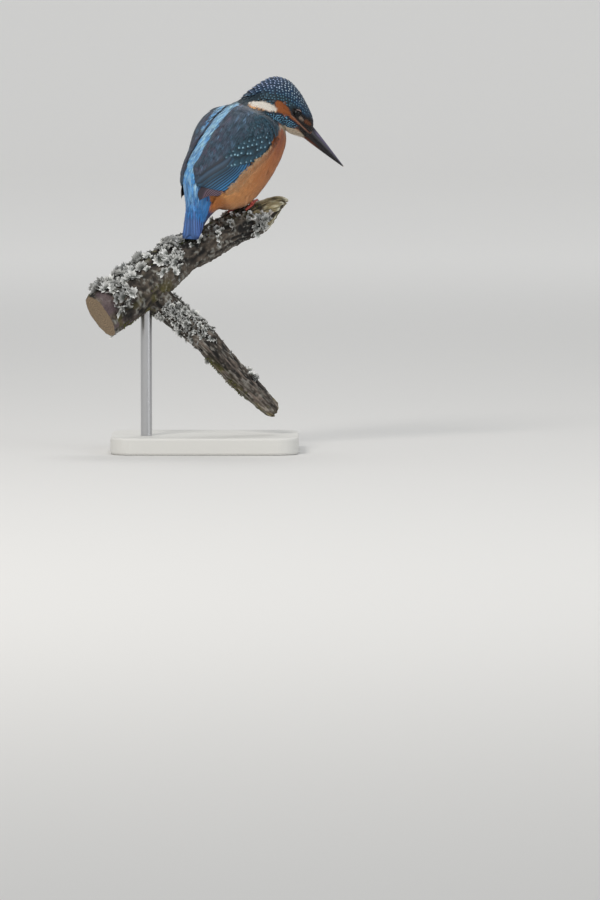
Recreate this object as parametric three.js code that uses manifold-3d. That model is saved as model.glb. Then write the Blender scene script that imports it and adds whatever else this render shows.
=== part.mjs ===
// A life-size common kingfisher, perched on a cut length of lichened branch over a display stand.
// Millimetres, +Z up. The origin is the centre of the stand's underside. +X runs along the stand's
// long side, towards the side that the bill points to, and -Y is the side the bird shows best.
//
// The bird is modelled unturned, in a frame of its own: x forward, y to its left, z up from the tip
// of the tail. Its body is one skin of rings from tail tip to bill, parted by thin cuts. pose() then
// turns the head over the right shoulder and puts the bird on its perch.
import * as THREE from "three";
import { mergeVertices } from "three/addons/utils/BufferGeometryUtils.js";
import Module from "manifold-3d";

const wasm = await Module();
wasm.setup();

// ---------------------------------------------------------------- driving sizes
const GAP = 0.3; // clearance between two pieces that meet
const SLIVER = 0.02; // faces thinner than this are merged with their neighbours
const CUT = 0.012; // a thin cut through the body, as a share of the step between two stations

const BIRD_AT = new THREE.Vector3(0, -6, 150); // the tip of the tail, on the stand
const HEADING = THREE.MathUtils.degToRad(40); // the way the body faces, from +X towards +Y
const HEAD_TURN = THREE.MathUtils.degToRad(-40); // the head's turn on the body, to the right
const NECK_X = 45; // the upright axis that the head turns about
const TURN_FROM = 8; // stations between which the turn grows from nothing to whole
const TURN_TO = 12.6;

const EYE = { at: [75.2, 87.6], out: 8.7, radius: 3.1 };
const BILL = {
  root: [74.5, 81.2], // where the line between its halves starts, inside the head
  pitch: THREE.MathUtils.degToRad(-43),
  length: 46,
  buried: 6, // the stretch left out at the root
  width: 4.6, // half its width at the root
  blunt: 0.3, // half its width and depth left at the tip
};

// A folded wing, in stations along the body and degrees round it from the middle of the back.
const WING = {
  front: 9.05,
  rounding: 0.7,
  rear_top: 3.25,
  rear_low: 3.95,
  tip: 2.35,
  tip_angle: 56,
  upper: 10,
  upper_rear: 32,
  lower_front: 97,
  lower_rear: 86,
  primaries_from: 0.3,
  primaries_to: 0.92,
  edge: 1.1, // how far its rim stands off the body
  rear: 0.2, // and how much more its middle does, towards the rear
  shoulder: 4.6, // and at the shoulder
  flare: 2.4, // how far the tips of the primaries lift off the body
};

// The bird's two sides: the sign of the angles round the body on each.
const MIRRORED = { right: 1, left: -1 };

// Where each foot stands, and its toes: how far each is turned from the way the bird faces.
const FEET = {
  right: { x: 33.1, y: 15.3, out: -1 },
  left: { x: 21.5, y: 16.8, out: 1 },
};
const CLAW = 3; // its length
const CLAW_TIP = 0.25; // and the radius of its tip
const STRIDE = 0.25; // the step between the places that a toe is laid through
const TOES = [
  { name: "inner", turn: 58, length: 9.5, radius: 1.05 },
  { name: "middle", turn: 40, length: 12.5, radius: 1.15 },
  { name: "outer", turn: 27, length: 11, radius: 1.1 },
  { name: "hind", turn: 184, length: 7.5, radius: 1.05 },
];

const BASE = { length: 132, width: 92, height: 12, corner: 14, edge: 1.5 };
const ROD = { at: [-41, -15.5], radius: 4, into_base: 6, top: 112 };

// The body from the tip of the tail to the base of the bill: its upper and lower edge in the plane
// of symmetry as [x, z], its half width there, and how square its section is (2 is an ellipse).
const BODY = [
  { name: "tail tip", back: [-13.6, 0], belly: [-12.5, 0], half: 8.8, square: 4 },
  { name: "tail", back: [-13.2, 12], belly: [-4.5, 11], half: 8.6, square: 3 },
  { name: "tail root", back: [-13.4, 24], belly: [6, 18.6], half: 9, square: 2.4 },
  { name: "rump", back: [-14.8, 36], belly: [12.5, 20.6], half: 13, square: 2.3 },
  { name: "vent", back: [-14.6, 44], belly: [22, 19.6], half: 17, square: 2.3 },
  { name: "belly", back: [-11.4, 53.5], belly: [36, 23.5], half: 19.8, square: 2.3 },
  { name: "flank", back: [-5, 63], belly: [50.2, 37], half: 21.8, square: 2.4 },
  { name: "breast", back: [3.2, 73.5], belly: [60.6, 52], half: 22.9, square: 2.5 },
  { name: "shoulder", back: [14, 85], belly: [66, 64.5], half: 22.6, square: 2.5 },
  { name: "mantle", back: [25, 92.6], belly: [67.2, 71.8], half: 19.8, square: 2.3 },
  { name: "nape", back: [34.5, 97], belly: [67.4, 75], half: 16.2, square: 2.1 },
  { name: "hind crown", back: [45, 105.9], belly: [68, 75], half: 13.6, square: 2.1 },
  { name: "crown", back: [57.8, 112.7], belly: [69.6, 73.4], half: 12.4, square: 2.1 },
  { name: "fore crown", back: [68.9, 110.6], belly: [73, 72], half: 11.8, square: 2.1 },
  { name: "brow", back: [76.9, 102.7], belly: [76.5, 70.8], half: 10.7, square: 2.1 },
  { name: "forehead", back: [82.4, 93.3], belly: [79.8, 69.9], half: 8.7, square: 2.1 },
  { name: "lores", back: [86.2, 84.5], belly: [83, 69.9], half: 6.2, square: 2.1 },
  { name: "bill base", back: [87, 79.5], belly: [85.2, 71.3], half: 4.4, square: 2.1 },
];

// ---------------------------------------------------------------- the body's surface
const curveOf = (pick) =>
  new THREE.CatmullRomCurve3(BODY.map(pick), false, "catmullrom", 0.5);
const backLine = curveOf((s) => new THREE.Vector3(s.back[0], 0, s.back[1]));
const bellyLine = curveOf((s) => new THREE.Vector3(s.belly[0], 0, s.belly[1]));
const sectionLine = curveOf((s) => new THREE.Vector3(s.half, s.square, 0));
const LAST = BODY.length - 1;

const power = (value, exponent) => Math.sign(value) * Math.abs(value) ** exponent;

// The turn of the head that a station takes part in.
function turnAt(station) {
  return HEAD_TURN * THREE.MathUtils.smootherstep(station, TURN_FROM, TURN_TO);
}

// A point of the bird's own frame, moved with the head as much as its station is.
function turned(point, station) {
  const axis = new THREE.Vector3(0, 0, 1);
  return point
    .sub(new THREE.Vector3(NECK_X, 0, 0))
    .applyAxisAngle(axis, turnAt(station))
    .add(new THREE.Vector3(NECK_X, 0, 0));
}

// The section of a station: its middle, the way up its plane, and its half height and width.
function sectionAt(station) {
  const u = station / LAST;
  const back = backLine.getPoint(u);
  const belly = bellyLine.getPoint(u);
  const form = sectionLine.getPoint(u);
  const up = back.clone().sub(belly);
  const height = up.length() / 2;
  const middle = back.clone().add(belly).multiplyScalar(0.5);
  return { middle, up: up.normalize(), height, half: form.x, square: form.y };
}

// A point on the body: angle 0 is the middle of the back, and pi the middle of the belly. The bird's
// right side has positive angles. proud is how far the point stands off the surface.
function onBody(station, angle, proud = 0) {
  const s = sectionAt(station);
  const high = (s.height + proud) * power(Math.cos(angle), 2 / s.square);
  const wide = (s.half + proud) * power(Math.sin(angle), 2 / s.square);
  const point = s.middle.clone().addScaledVector(s.up, high);
  point.y -= wide;
  return turned(point, station);
}

// ---------------------------------------------------------------- making closed meshes
// The faces that close the end of a skin: a fan round the ring's centre, or for a slab, whose rings
// run out along one side and back along the other, a ladder from side to side.
const fan = (ring, first, centre) =>
  ring.flatMap((_, j) => [centre, first + j, first + ((j + 1) % ring.length)]);
const ladder = (ring, first) =>
  steps(0, ring.length / 2 - 2, ring.length / 2 - 2).flatMap((j) => {
    const [a, b] = [first + j, first + j + 1];
    const [c, d] = [first + ring.length - 1 - j, first + ring.length - 2 - j];
    return [a, b, d, a, d, c];
  });
const flipped = (faces) => faces.reverse();

// A closed skin over a row of rings, each a list of as many points.
function skinOver(rings, closeWith = fan) {
  const around = rings[0].length;
  const points = rings.flat().flatMap((p) => [p.x, p.y, p.z]);
  const faces = [];
  for (let i = 0; i + 1 < rings.length; i++)
    for (let j = 0; j < around; j++) {
      const k = (j + 1) % around;
      const [a, b] = [i * around + j, i * around + k];
      const [c, d] = [a + around, b + around];
      faces.push(a, b, d, a, d, c);
    }
  const addCentre = (ring) => {
    if (closeWith !== fan) return -1;
    const sum = ring.reduce((t, p) => t.add(p), new THREE.Vector3());
    points.push(...sum.divideScalar(around));
    return points.length / 3 - 1;
  };
  const last = (rings.length - 1) * around;
  faces.push(...flipped(closeWith(rings[0], 0, addCentre(rings[0]))));
  faces.push(...closeWith(rings.at(-1), last, addCentre(rings.at(-1))));
  const geometry = new THREE.BufferGeometry();
  geometry.setAttribute("position", new THREE.Float32BufferAttribute(points, 3));
  geometry.setIndex(faces);
  return geometry;
}

function toSolid(geometry) {
  const bare = geometry.clone();
  bare.deleteAttribute("normal");
  bare.deleteAttribute("uv");
  const merged = mergeVertices(bare, 1e-4);
  const make = (index) =>
    new wasm.Manifold(
      new wasm.Mesh({
        numProp: 3,
        vertProperties: new Float32Array(merged.attributes.position.array),
        triVerts: new Uint32Array(index),
      }),
    );
  const index = [...merged.index.array];
  const solid = make(index);
  return solid.volume() > 0 ? solid : make(index.reverse());
}

const largest = (solid) =>
  solid.decompose().reduce((a, b) => (a.volume() > b.volume() ? a : b));

function toGeometry(solid) {
  const mesh = largest(solid.simplify(SLIVER)).getMesh();
  const geometry = new THREE.BufferGeometry();
  const flat = new Float32Array(mesh.numVert * 3);
  for (let i = 0; i < mesh.numVert; i++)
    flat.set(mesh.vertProperties.subarray(i * mesh.numProp, i * mesh.numProp + 3), i * 3);
  geometry.setAttribute("position", new THREE.BufferAttribute(flat, 3));
  geometry.setIndex(new THREE.BufferAttribute(mesh.triVerts, 1));
  return geometry;
}

const steps = (from, to, count) =>
  Array.from({ length: count + 1 }, (_, i) => from + ((to - from) * i) / count);

// The rings of a stretch of the body.
function bodyRings(from, to, count, around, proud = 0) {
  return steps(from, to, count).map((station) =>
    Array.from({ length: around }, (_, j) =>
      onBody(station, (2 * Math.PI * j) / around, proud),
    ),
  );
}

// A tube along a line of { at, radius } places, in rings of a given number of sides. The line never
// runs along the beam, a direction that sets where each ring starts.
function tube(places, sides, beam = new THREE.Vector3(0, 1, 0)) {
  const line = new THREE.CatmullRomCurve3(places.map((p) => p.at));
  const rings = places.map((place, i) => {
    const along = line.getTangent(i / (places.length - 1));
    const side = beam.clone().cross(along).normalize();
    const over = along.clone().cross(side).normalize();
    return Array.from({ length: sides }, (_, j) => {
      const angle = (2 * Math.PI * j) / sides;
      return place.at
        .clone()
        .addScaledVector(side, place.radius * Math.cos(angle))
        .addScaledVector(over, place.radius * Math.sin(angle));
    });
  });
  return skinOver(rings);
}

// ---------------------------------------------------------------- finishes
const finish = (color, roughness, metalness = 0) =>
  new THREE.MeshStandardMaterial({ color, roughness, metalness });
const FINISH = {
  teal: finish("#1d4a60", 0.55),
  azure: finish("#2f86c8", 0.45),
  primaries: finish("#2b2a33", 0.6),
  orange: finish("#b5672c", 0.75),
  crown: finish("#163a55", 0.5),
  horn: finish("#1d1a20", 0.35),
  mandible: finish("#3a211c", 0.4),
  eye: finish("#0c0908", 0.08),
  skin: finish("#b1402f", 0.5),
  bark: finish("#4a4238", 0.9),
  steel: finish("#b6b8ba", 0.3, 1),
  stand: finish("#e9e7e2", 0.45),
};

const bird = new THREE.Group();
bird.position.copy(BIRD_AT);
bird.rotation.z = HEADING;
const model = new THREE.Group();
model.add(bird);

function place(parent, name, geometry, material) {
  const mesh = new THREE.Mesh(geometry, material);
  mesh.name = name;
  parent.add(mesh);
  return mesh;
}

// ---------------------------------------------------------------- perch
// The branch and its side twig, as places on the stand with their radii.
const BRANCH = [
  { x: 60, y: 32.5, z: 172.4, radius: 6 },
  { x: 55, y: 30.2, z: 170.6, radius: 8.6 },
  { x: 47, y: 26.5, z: 167.4, radius: 10.2 },
  { x: 34, y: 20.5, z: 162, radius: 11.1 },
  { x: 17, y: 12.6, z: 154.8, radius: 11.5 },
  { x: 0, y: 4.6, z: 145, radius: 11.4 },
  { x: -14, y: -1.9, z: 138.3, radius: 12 },
  { x: -28, y: -8.4, z: 129.4, radius: 14.3 },
  { x: -46, y: -16.8, z: 115, radius: 15.8 },
  { x: -60, y: -23.3, z: 105.5, radius: 16 },
  { x: -73, y: -29.4, z: 97, radius: 16.4 },
];
const TWIG = [
  { x: -42, y: -14, z: 116.5, radius: 11 },
  { x: -34, y: -12.9, z: 108, radius: 10.8 },
  { x: -24.6, y: -12, z: 100.2, radius: 10 },
  { x: -12, y: -10.5, z: 89.7, radius: 9.2 },
  { x: 0, y: -9, z: 79.4, radius: 8.7 },
  { x: 12, y: -7.5, z: 65.6, radius: 8.2 },
  { x: 25.2, y: -6, z: 51.4, radius: 7.8 },
  { x: 38.8, y: -4.5, z: 38.5, radius: 7 },
  { x: 47.2, y: -3.4, z: 30, radius: 6 },
  { x: 51.2, y: -3, z: 26.2, radius: 3.6 },
];
// The slanting plane where the branch has broken off, and the side of it that is left.
const BROKEN = { normal: [-0.885, 0, 0.466], offset: 32 };
const asPlaces = (list, proud = 0) =>
  list.map((p) => ({ at: new THREE.Vector3(p.x, p.y, p.z), radius: p.radius + proud }));

const rodAt = (radius, from, to) => {
  const rod = new THREE.CylinderGeometry(radius, radius, to - from, 20);
  rod.rotateX(Math.PI / 2);
  rod.translate(ROD.at[0], ROD.at[1], (from + to) / 2);
  return rod;
};

const BRANCH_SIDES = 16;
const TWIG_SIDES = 12;
const brokenEnd = (solid) => solid.trimByPlane(BROKEN.normal, BROKEN.offset);
const branch = brokenEnd(toSolid(tube(asPlaces(BRANCH), BRANCH_SIDES)));
const branchRoom = toSolid(tube(asPlaces(BRANCH, GAP), BRANCH_SIDES));
const rodFoot = BASE.height - ROD.into_base;
const rodHole = toSolid(rodAt(ROD.radius + GAP, rodFoot - GAP, ROD.top + GAP));
const twig = toSolid(tube(asPlaces(TWIG), TWIG_SIDES)).subtract(branchRoom).subtract(rodHole);

place(model, "perch_branch", toGeometry(branch.subtract(rodHole)), FINISH.bark);
place(model, "perch_twig", toGeometry(twig), FINISH.bark);

// ---------------------------------------------------------------- stand
function standBase() {
  const [w, d, r] = [BASE.length / 2 - BASE.edge, BASE.width / 2 - BASE.edge, BASE.corner];
  const outline = new THREE.Shape();
  outline.moveTo(-w + r, -d);
  outline.lineTo(w - r, -d);
  outline.absarc(w - r, -d + r, r, -Math.PI / 2, 0);
  outline.absarc(w - r, d - r, r, 0, Math.PI / 2);
  outline.absarc(-w + r, d - r, r, Math.PI / 2, Math.PI);
  outline.absarc(-w + r, -d + r, r, Math.PI, 1.5 * Math.PI);
  const plate = new THREE.ExtrudeGeometry(outline, {
    depth: BASE.height - 2 * BASE.edge,
    bevelThickness: BASE.edge,
    bevelSize: BASE.edge,
    bevelSegments: 2,
    curveSegments: 6,
  });
  plate.translate(0, 0, BASE.edge);
  return toGeometry(toSolid(plate).subtract(rodHole));
}
place(model, "stand_base", standBase(), FINISH.stand);
place(model, "stand_rod", rodAt(ROD.radius, rodFoot, ROD.top), FINISH.steel);

// ---------------------------------------------------------------- body
// The branch in the bird's own frame, with room for the gap, to be kept clear of.
bird.updateMatrixWorld(true);
const toBird = bird.matrixWorld.clone().invert();
const roomForPerch = toSolid(toGeometry(branchRoom).applyMatrix4(toBird));

const clearOfPerch = (geometry) =>
  toGeometry(largest(toSolid(geometry).subtract(roomForPerch)));

const AROUND = 24;
const TAIL_END = 2.2; // the stations where the body is parted
const NECK_FROM = 9.2;
const NECK_TO = 10.9;

const bodyPart = (from, to, count) => skinOver(bodyRings(from, to, count, AROUND));
place(bird, "tail", clearOfPerch(bodyPart(0, TAIL_END - CUT, 4)), FINISH.azure);
place(bird, "trunk", clearOfPerch(bodyPart(TAIL_END + CUT, NECK_FROM - CUT, 17)), FINISH.orange);
place(bird, "neck", bodyPart(NECK_FROM + CUT, NECK_TO - CUT, 5), FINISH.orange);

// ---------------------------------------------------------------- head, eyes and bill
// The bill's own frame in the plane of symmetry: along it, and up from the line where it closes.
const billAlong = new THREE.Vector3(Math.cos(BILL.pitch), 0, Math.sin(BILL.pitch));
const billUp = new THREE.Vector3(-Math.sin(BILL.pitch), 0, Math.cos(BILL.pitch));
const billPoint = (along, up, out) =>
  turned(
    new THREE.Vector3(BILL.root[0], 0, BILL.root[1])
      .addScaledVector(billAlong, along)
      .addScaledVector(billUp, up)
      .add(new THREE.Vector3(0, -out, 0)),
    TURN_TO,
  );

// Half of the bill, from inside the head to its tip: side 1 is the upper half and -1 the lower.
// Each half tapers from its depth and width at the root, a little convex.
const BILL_HALF = {
  upper: { side: 1, deep: 6.3, taper: 1.05 },
  lower: { side: -1, deep: 4.6, taper: 0.9 },
};
function billHalf({ side, deep, taper }) {
  const buried = BILL.buried;
  return steps(0, 1, 12).map((share) => {
    const along = buried + (BILL.length - buried) * share;
    const left = 1 - share ** 1.15;
    const depth = deep * left ** taper + BILL.blunt;
    const width = BILL.width * left ** 0.95 + BILL.blunt;
    return steps(0, 1, 8).map((s) => {
      const angle = Math.PI * s;
      const keel = power(Math.sin(angle), 1.15);
      return billPoint(along, side * (GAP / 2 + depth * keel), width * Math.cos(angle));
    });
  });
}

function eyeball(radius, side) {
  const centre = turned(new THREE.Vector3(EYE.at[0], -side * EYE.out, EYE.at[1]), TURN_TO);
  return new THREE.SphereGeometry(radius, 12, 9).translate(centre.x, centre.y, centre.z);
}

const upperBill = toSolid(skinOver(billHalf(BILL_HALF.upper)));
const lowerBill = toSolid(skinOver(billHalf(BILL_HALF.lower)));
// The room for the bill in the head: both halves, grown by the gap on every side.
const shifted = [-GAP, GAP].flatMap((d) => [
  [d, 0, 0],
  [0, d, 0],
  [0, 0, d],
]);
const roomForBill = wasm.Manifold.union(
  [upperBill, lowerBill].flatMap((half) => shifted.map((d) => half.translate(d))),
).hull();

let head = toSolid(bodyPart(NECK_TO + CUT, LAST, 15)).subtract(roomForBill);
for (const side of Object.values(MIRRORED))
  head = head.subtract(toSolid(eyeball(EYE.radius + GAP, side)));
place(bird, "head", toGeometry(head), FINISH.crown);
place(bird, "bill_upper", toGeometry(upperBill), FINISH.horn);
place(bird, "bill_lower", toGeometry(lowerBill), FINISH.mandible);
for (const [name, side] of Object.entries(MIRRORED))
  place(bird, `eye_${name}`, eyeball(EYE.radius, side), FINISH.eye);

// ---------------------------------------------------------------- wings
// A folded wing is a slab laid over the body. across runs from its upper edge, beside the pale
// stripe of the back, to its lower edge on the flank, and along from the bend to the rear.
const radians = THREE.MathUtils.degToRad;
const between = (a, b, share) => a + (b - a) * share;
const eased = (value, from, to) => THREE.MathUtils.smoothstep(value, from, to);

// The angles round the body of a wing's upper and lower edge at a station.
const upperEdge = (station) => between(WING.upper_rear, WING.upper, eased(station, 3.2, 5));
const lowerEdge = (station) => between(WING.lower_rear, WING.lower_front, eased(station, 5.6, 7.6));
// Where the longest inner flight feathers end, from the back down to the flank.
const rearEdge = (across) => between(WING.rear_top, WING.rear_low, across);
const frontEdge = (across) => WING.front - WING.rounding * Math.abs(2 * across - 0.9) ** 2.4;

function wingSlab(side, stationOf, angleOf, thickness, lift, along, across) {
  const edge = (u, v, proud) => {
    const station = stationOf(u, v);
    return onBody(station, side * radians(angleOf(station, u, v)), proud);
  };
  // Each ring is one strip across the wing: out over its top, then back along its underside.
  const rings = steps(0, 1, along).map((u) => [
    ...steps(0, 1, across).map((v) => edge(u, v, lift(u) + thickness(stationOf(u, v), v))),
    ...steps(1, 0, across).map((v) => edge(u, v, lift(u) + GAP)),
  ]);
  return skinOver(side > 0 ? rings.map((ring) => ring.reverse()) : rings, ladder);
}

function wing(side) {
  const stationOf = (u, v) => between(frontEdge(v), rearEdge(v), u);
  const angleOf = (station, u, v) => {
    const narrowed = (1 - v - 0.5) * (1 - eased(u, 0, 0.16)) * 0.25;
    return between(upperEdge(station), lowerEdge(station), v + narrowed);
  };
  const hump = (station) => between(WING.rear, WING.shoulder, eased(station, 5.6, 7.8));
  const thickness = (station, v) =>
    WING.edge + hump(station) * Math.sin(Math.PI * v) ** 0.8;
  return wingSlab(side, stationOf, angleOf, thickness, () => 0, 15, 11);
}

// The folded primaries: a narrow blade that goes on behind the inner flight feathers.
function primaries(side) {
  const share = (v) => between(WING.primaries_from, WING.primaries_to, v);
  const stationOf = (u, v) => between(rearEdge(share(v)) - 3 * CUT, WING.tip, u);
  const angleOf = (station, u, v) => {
    const start = between(WING.upper_rear, WING.lower_rear, share(v));
    return between(start, WING.tip_angle + 8 * (v - 0.5), u ** 0.9);
  };
  const thickness = () => WING.edge;
  const lift = (u) => WING.flare * u ** 1.5;
  return wingSlab(side, stationOf, angleOf, thickness, lift, 7, 6);
}

for (const [name, side] of Object.entries(MIRRORED)) {
  place(bird, `wing_${name}`, wing(side), FINISH.teal);
  place(bird, `primaries_${name}`, primaries(side), FINISH.primaries);
}

// ---------------------------------------------------------------- legs and feet
// The height of the branch's top over a place on the stand, as the highest of many balls in it.
const branchLine = new THREE.CatmullRomCurve3(asPlaces(BRANCH).map((p) => p.at));
const branchWidth = new THREE.CatmullRomCurve3(BRANCH.map((p) => new THREE.Vector3(p.radius, 0, 0)));
function branchTop(x, y) {
  const heights = steps(0, 1, 240).map((u) => {
    const at = branchLine.getPoint(u);
    const rest = branchWidth.getPoint(u).x ** 2 - (x - at.x) ** 2 - (y - at.y) ** 2;
    return rest > 0 ? at.z + Math.sqrt(rest) : -Infinity;
  });
  return Math.max(...heights);
}

// The way up from the branch's surface over a place on the stand.
function branchNormal(x, y) {
  const h = 0.05;
  const slopeX = (branchTop(x + h, y) - branchTop(x - h, y)) / (2 * h);
  const slopeY = (branchTop(x, y + h) - branchTop(x, y - h)) / (2 * h);
  return new THREE.Vector3(-slopeX, -slopeY, 1).normalize();
}

// Places along the branch's surface from a foot at a heading from +X, a short step apart.
function walk(foot, heading, length) {
  const places = [];
  let [x, y] = [foot.x, foot.y];
  for (let gone = 0; gone <= length; gone += STRIDE) {
    const normal = branchNormal(x, y);
    const at = new THREE.Vector3(x, y, branchTop(x, y));
    places.push({ at, normal });
    const climb = -(normal.x * Math.cos(heading) + normal.y * Math.sin(heading)) / normal.z;
    const level = STRIDE / Math.hypot(1, climb);
    x += level * Math.cos(heading);
    y += level * Math.sin(heading);
  }
  return places;
}

// A toe on the branch, in pads that taper from its root at the foot, and its claw.
function toe(foot, heading, length, radius) {
  const path = walk(foot, heading, length + CLAW);
  const along = (d, proud) => {
    const { at, normal } = path[Math.min(path.length - 1, Math.round(d / STRIDE))];
    return at.clone().addScaledVector(normal, proud);
  };
  const pads = steps(0, length, 5).map((d, i) => ({
    at: along(d, radius + GAP),
    radius: radius * (i % 2 ? 1.08 : 0.94) * between(1, 0.78, d / length),
  }));
  const claw = [
    { at: along(length, radius + GAP), radius: radius * 0.62 },
    { at: along(length + CLAW * 0.5, radius * 1.1 + GAP), radius: radius * 0.45 },
    { at: along(length + CLAW, CLAW_TIP + GAP), radius: CLAW_TIP },
  ];
  const beam = new THREE.Vector3(-Math.sin(heading), Math.cos(heading), 0);
  return toSolid(tube(pads, 7, beam)).add(toSolid(tube(claw, 5, beam)));
}

const roomForBody = toSolid(
  skinOver(bodyRings(TAIL_END, NECK_FROM, 18, AROUND, GAP)).applyMatrix4(bird.matrixWorld),
);
for (const [name, foot] of Object.entries(FEET)) {
  const ground = new THREE.Vector3(foot.x, foot.y, branchTop(foot.x, foot.y) + 1.5);
  const toes = TOES.map((t) => toe(foot, HEADING + radians(t.turn), t.length, t.radius));
  const solid = wasm.Manifold.union(toes).subtract(branchRoom);
  const footRoom = wasm.Manifold.union(
    [0, GAP].map((d) => solid.translate([0, 0, d])),
  );
  const knee = ground.clone().add(new THREE.Vector3(-3.5, foot.out * 2.2, 11));
  const shank = tube(
    [
      { at: ground, radius: 1.35 },
      { at: ground.clone().lerp(knee, 0.35), radius: 1.3 },
      { at: knee, radius: 3.2 },
    ],
    8,
  );
  const leg = toSolid(shank).subtract(footRoom).subtract(branchRoom).subtract(roomForBody);
  place(model, `foot_${name}`, toGeometry(solid.subtract(roomForBody)), FINISH.skin);
  place(model, `leg_${name}`, toGeometry(leg), FINISH.skin);
}

export default model;
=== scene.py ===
"""The looks of a life-size common kingfisher on a cut length of lichened branch, over a display stand.

The bird is dressed in a frame of its own, in millimetres: x forward, y to its left, z up from the tip
of its tail. Its body is a skin of rings, from station 0 at the tail tip to LAST at the base of the
bill, and a place on it is a station and an angle round the ring: 0 is the middle of the back, pi the
middle of the belly, and the right side is positive. Feathers are vanes and tufts that are laid out in
those two coordinates, so they follow the body. The stand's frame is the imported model's, in metres.
"""

import math

import bpy
import numpy as np
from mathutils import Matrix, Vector


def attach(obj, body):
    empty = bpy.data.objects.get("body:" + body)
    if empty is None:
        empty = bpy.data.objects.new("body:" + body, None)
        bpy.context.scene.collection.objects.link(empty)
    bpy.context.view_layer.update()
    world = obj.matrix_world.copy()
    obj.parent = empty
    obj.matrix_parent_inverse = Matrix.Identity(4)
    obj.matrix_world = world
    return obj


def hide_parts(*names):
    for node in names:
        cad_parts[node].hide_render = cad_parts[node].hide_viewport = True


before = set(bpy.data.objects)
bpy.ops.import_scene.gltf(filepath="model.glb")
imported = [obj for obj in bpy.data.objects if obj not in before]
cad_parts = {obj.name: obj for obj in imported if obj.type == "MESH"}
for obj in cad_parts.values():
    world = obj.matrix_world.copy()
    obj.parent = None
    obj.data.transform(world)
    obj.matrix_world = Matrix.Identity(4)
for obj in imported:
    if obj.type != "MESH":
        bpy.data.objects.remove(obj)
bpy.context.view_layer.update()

MM = 0.001
RNG = np.random.default_rng(7)

# ------------------------------------------------------------------------------ the bird's own frame
BIRD_AT = np.array([0.0, -6.0, 150.0])  # where the tip of its tail is on the stand
HEADING = math.radians(40)  # how far the trunk is turned on the stand
HEAD_TURN = math.radians(-40)  # and the head on the trunk
NECK_X = 45.0  # where the upright line stands that the head turns about
TURN_FROM = 8.0  # the stations between which the neck takes up the turn
TURN_TO = 12.6
SIDES = {"right": 1, "left": -1}

# The body from the tip of the tail to the base of the bill: its upper and lower edge in the plane of
# symmetry as x and z, its half width there, and how square its section is (2 is an ellipse).
BODY = [
    ("tail tip", -13.6, 0.0, -12.5, 0.0, 8.8, 4.0),
    ("tail", -13.2, 12.0, -4.5, 11.0, 8.6, 3.0),
    ("tail root", -13.4, 24.0, 6.0, 18.6, 9.0, 2.4),
    ("rump", -14.8, 36.0, 12.5, 20.6, 13.0, 2.3),
    ("vent", -14.6, 44.0, 22.0, 19.6, 17.0, 2.3),
    ("belly", -11.4, 53.5, 36.0, 23.5, 19.8, 2.3),
    ("flank", -5.0, 63.0, 50.2, 37.0, 21.8, 2.4),
    ("breast", 3.2, 73.5, 60.6, 52.0, 22.9, 2.5),
    ("shoulder", 14.0, 85.0, 66.0, 64.5, 22.6, 2.5),
    ("mantle", 25.0, 92.6, 67.2, 71.8, 19.8, 2.3),
    ("nape", 34.5, 97.0, 67.4, 75.0, 16.2, 2.1),
    ("hind crown", 45.0, 105.9, 68.0, 75.0, 13.6, 2.1),
    ("crown", 57.8, 112.7, 69.6, 73.4, 12.4, 2.1),
    ("fore crown", 68.9, 110.6, 73.0, 72.0, 11.8, 2.1),
    ("brow", 76.9, 102.7, 76.5, 70.8, 10.7, 2.1),
    ("forehead", 82.4, 93.3, 79.8, 69.9, 8.7, 2.1),
    ("lores", 86.2, 84.5, 83.0, 69.9, 6.2, 2.1),
    ("bill base", 87.0, 79.5, 85.2, 71.3, 4.4, 2.1),
]
STATIONS = np.array([row[1:] for row in BODY])
LAST = len(BODY) - 1


def spline(values, at):
    """A smooth curve through rows of values, read at places counted in rows."""
    values = np.asarray(values, float)
    padded = np.vstack([2 * values[0] - values[1], values, 2 * values[-1] - values[-2]])
    cell = np.clip(np.floor(at).astype(int), 0, len(values) - 2)
    t = (at - cell)[..., None]
    p0, p1, p2, p3 = (padded[cell + i] for i in range(4))
    bend = (2 * p0 - 5 * p1 + 4 * p2 - p3) * t**2 + (3 * p1 - p0 - 3 * p2 + p3) * t**3
    return 0.5 * (2 * p1 + (p2 - p0) * t + bend)


def ramp(value, start, end):
    """0 up to start and 1 from end, eased in between."""
    t = np.clip((value - start) / (end - start), 0, 1)
    return t * t * (3 - 2 * t)


def mix(a, b, share):
    """A share of the way from a to b."""
    return a + (b - a) * share


def power(value, exponent):
    """A power that keeps the sign."""
    return np.sign(value) * np.abs(value) ** exponent


def turned(points, station):
    """Points of the bird's frame, moved with the head as much as their station is."""
    t = np.clip((station - TURN_FROM) / (TURN_TO - TURN_FROM), 0, 1)
    angle = HEAD_TURN * t * t * t * (t * (6 * t - 15) + 10)
    cos, sin = np.cos(angle), np.sin(angle)
    x = points[..., 0] - NECK_X
    y = points[..., 1]
    return np.stack([NECK_X + x * cos - y * sin, x * sin + y * cos, points[..., 2]], -1)


def on_head(points):
    """Points of the head, which are moved with it in full."""
    return turned(points, np.array(TURN_TO))


def on_body(station, angle, proud=0.0):
    """Points on the body. proud is how far they stand off its surface."""
    station, angle = np.broadcast_arrays(np.asarray(station, float), np.asarray(angle, float))
    row = spline(STATIONS, station)
    back, belly = row[..., 0:2], row[..., 2:4]
    half, square = row[..., 4], row[..., 5]
    across = back - belly
    height = np.linalg.norm(across, axis=-1) / 2
    up = across / (2 * height)[..., None]
    high = (height + proud) * power(np.cos(angle), 2 / square)
    wide = (half + proud) * power(np.sin(angle), 2 / square)
    middle = (back + belly) / 2 + up * high[..., None]
    return turned(np.stack([middle[..., 0], -wide, middle[..., 1]], -1), station)


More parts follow.
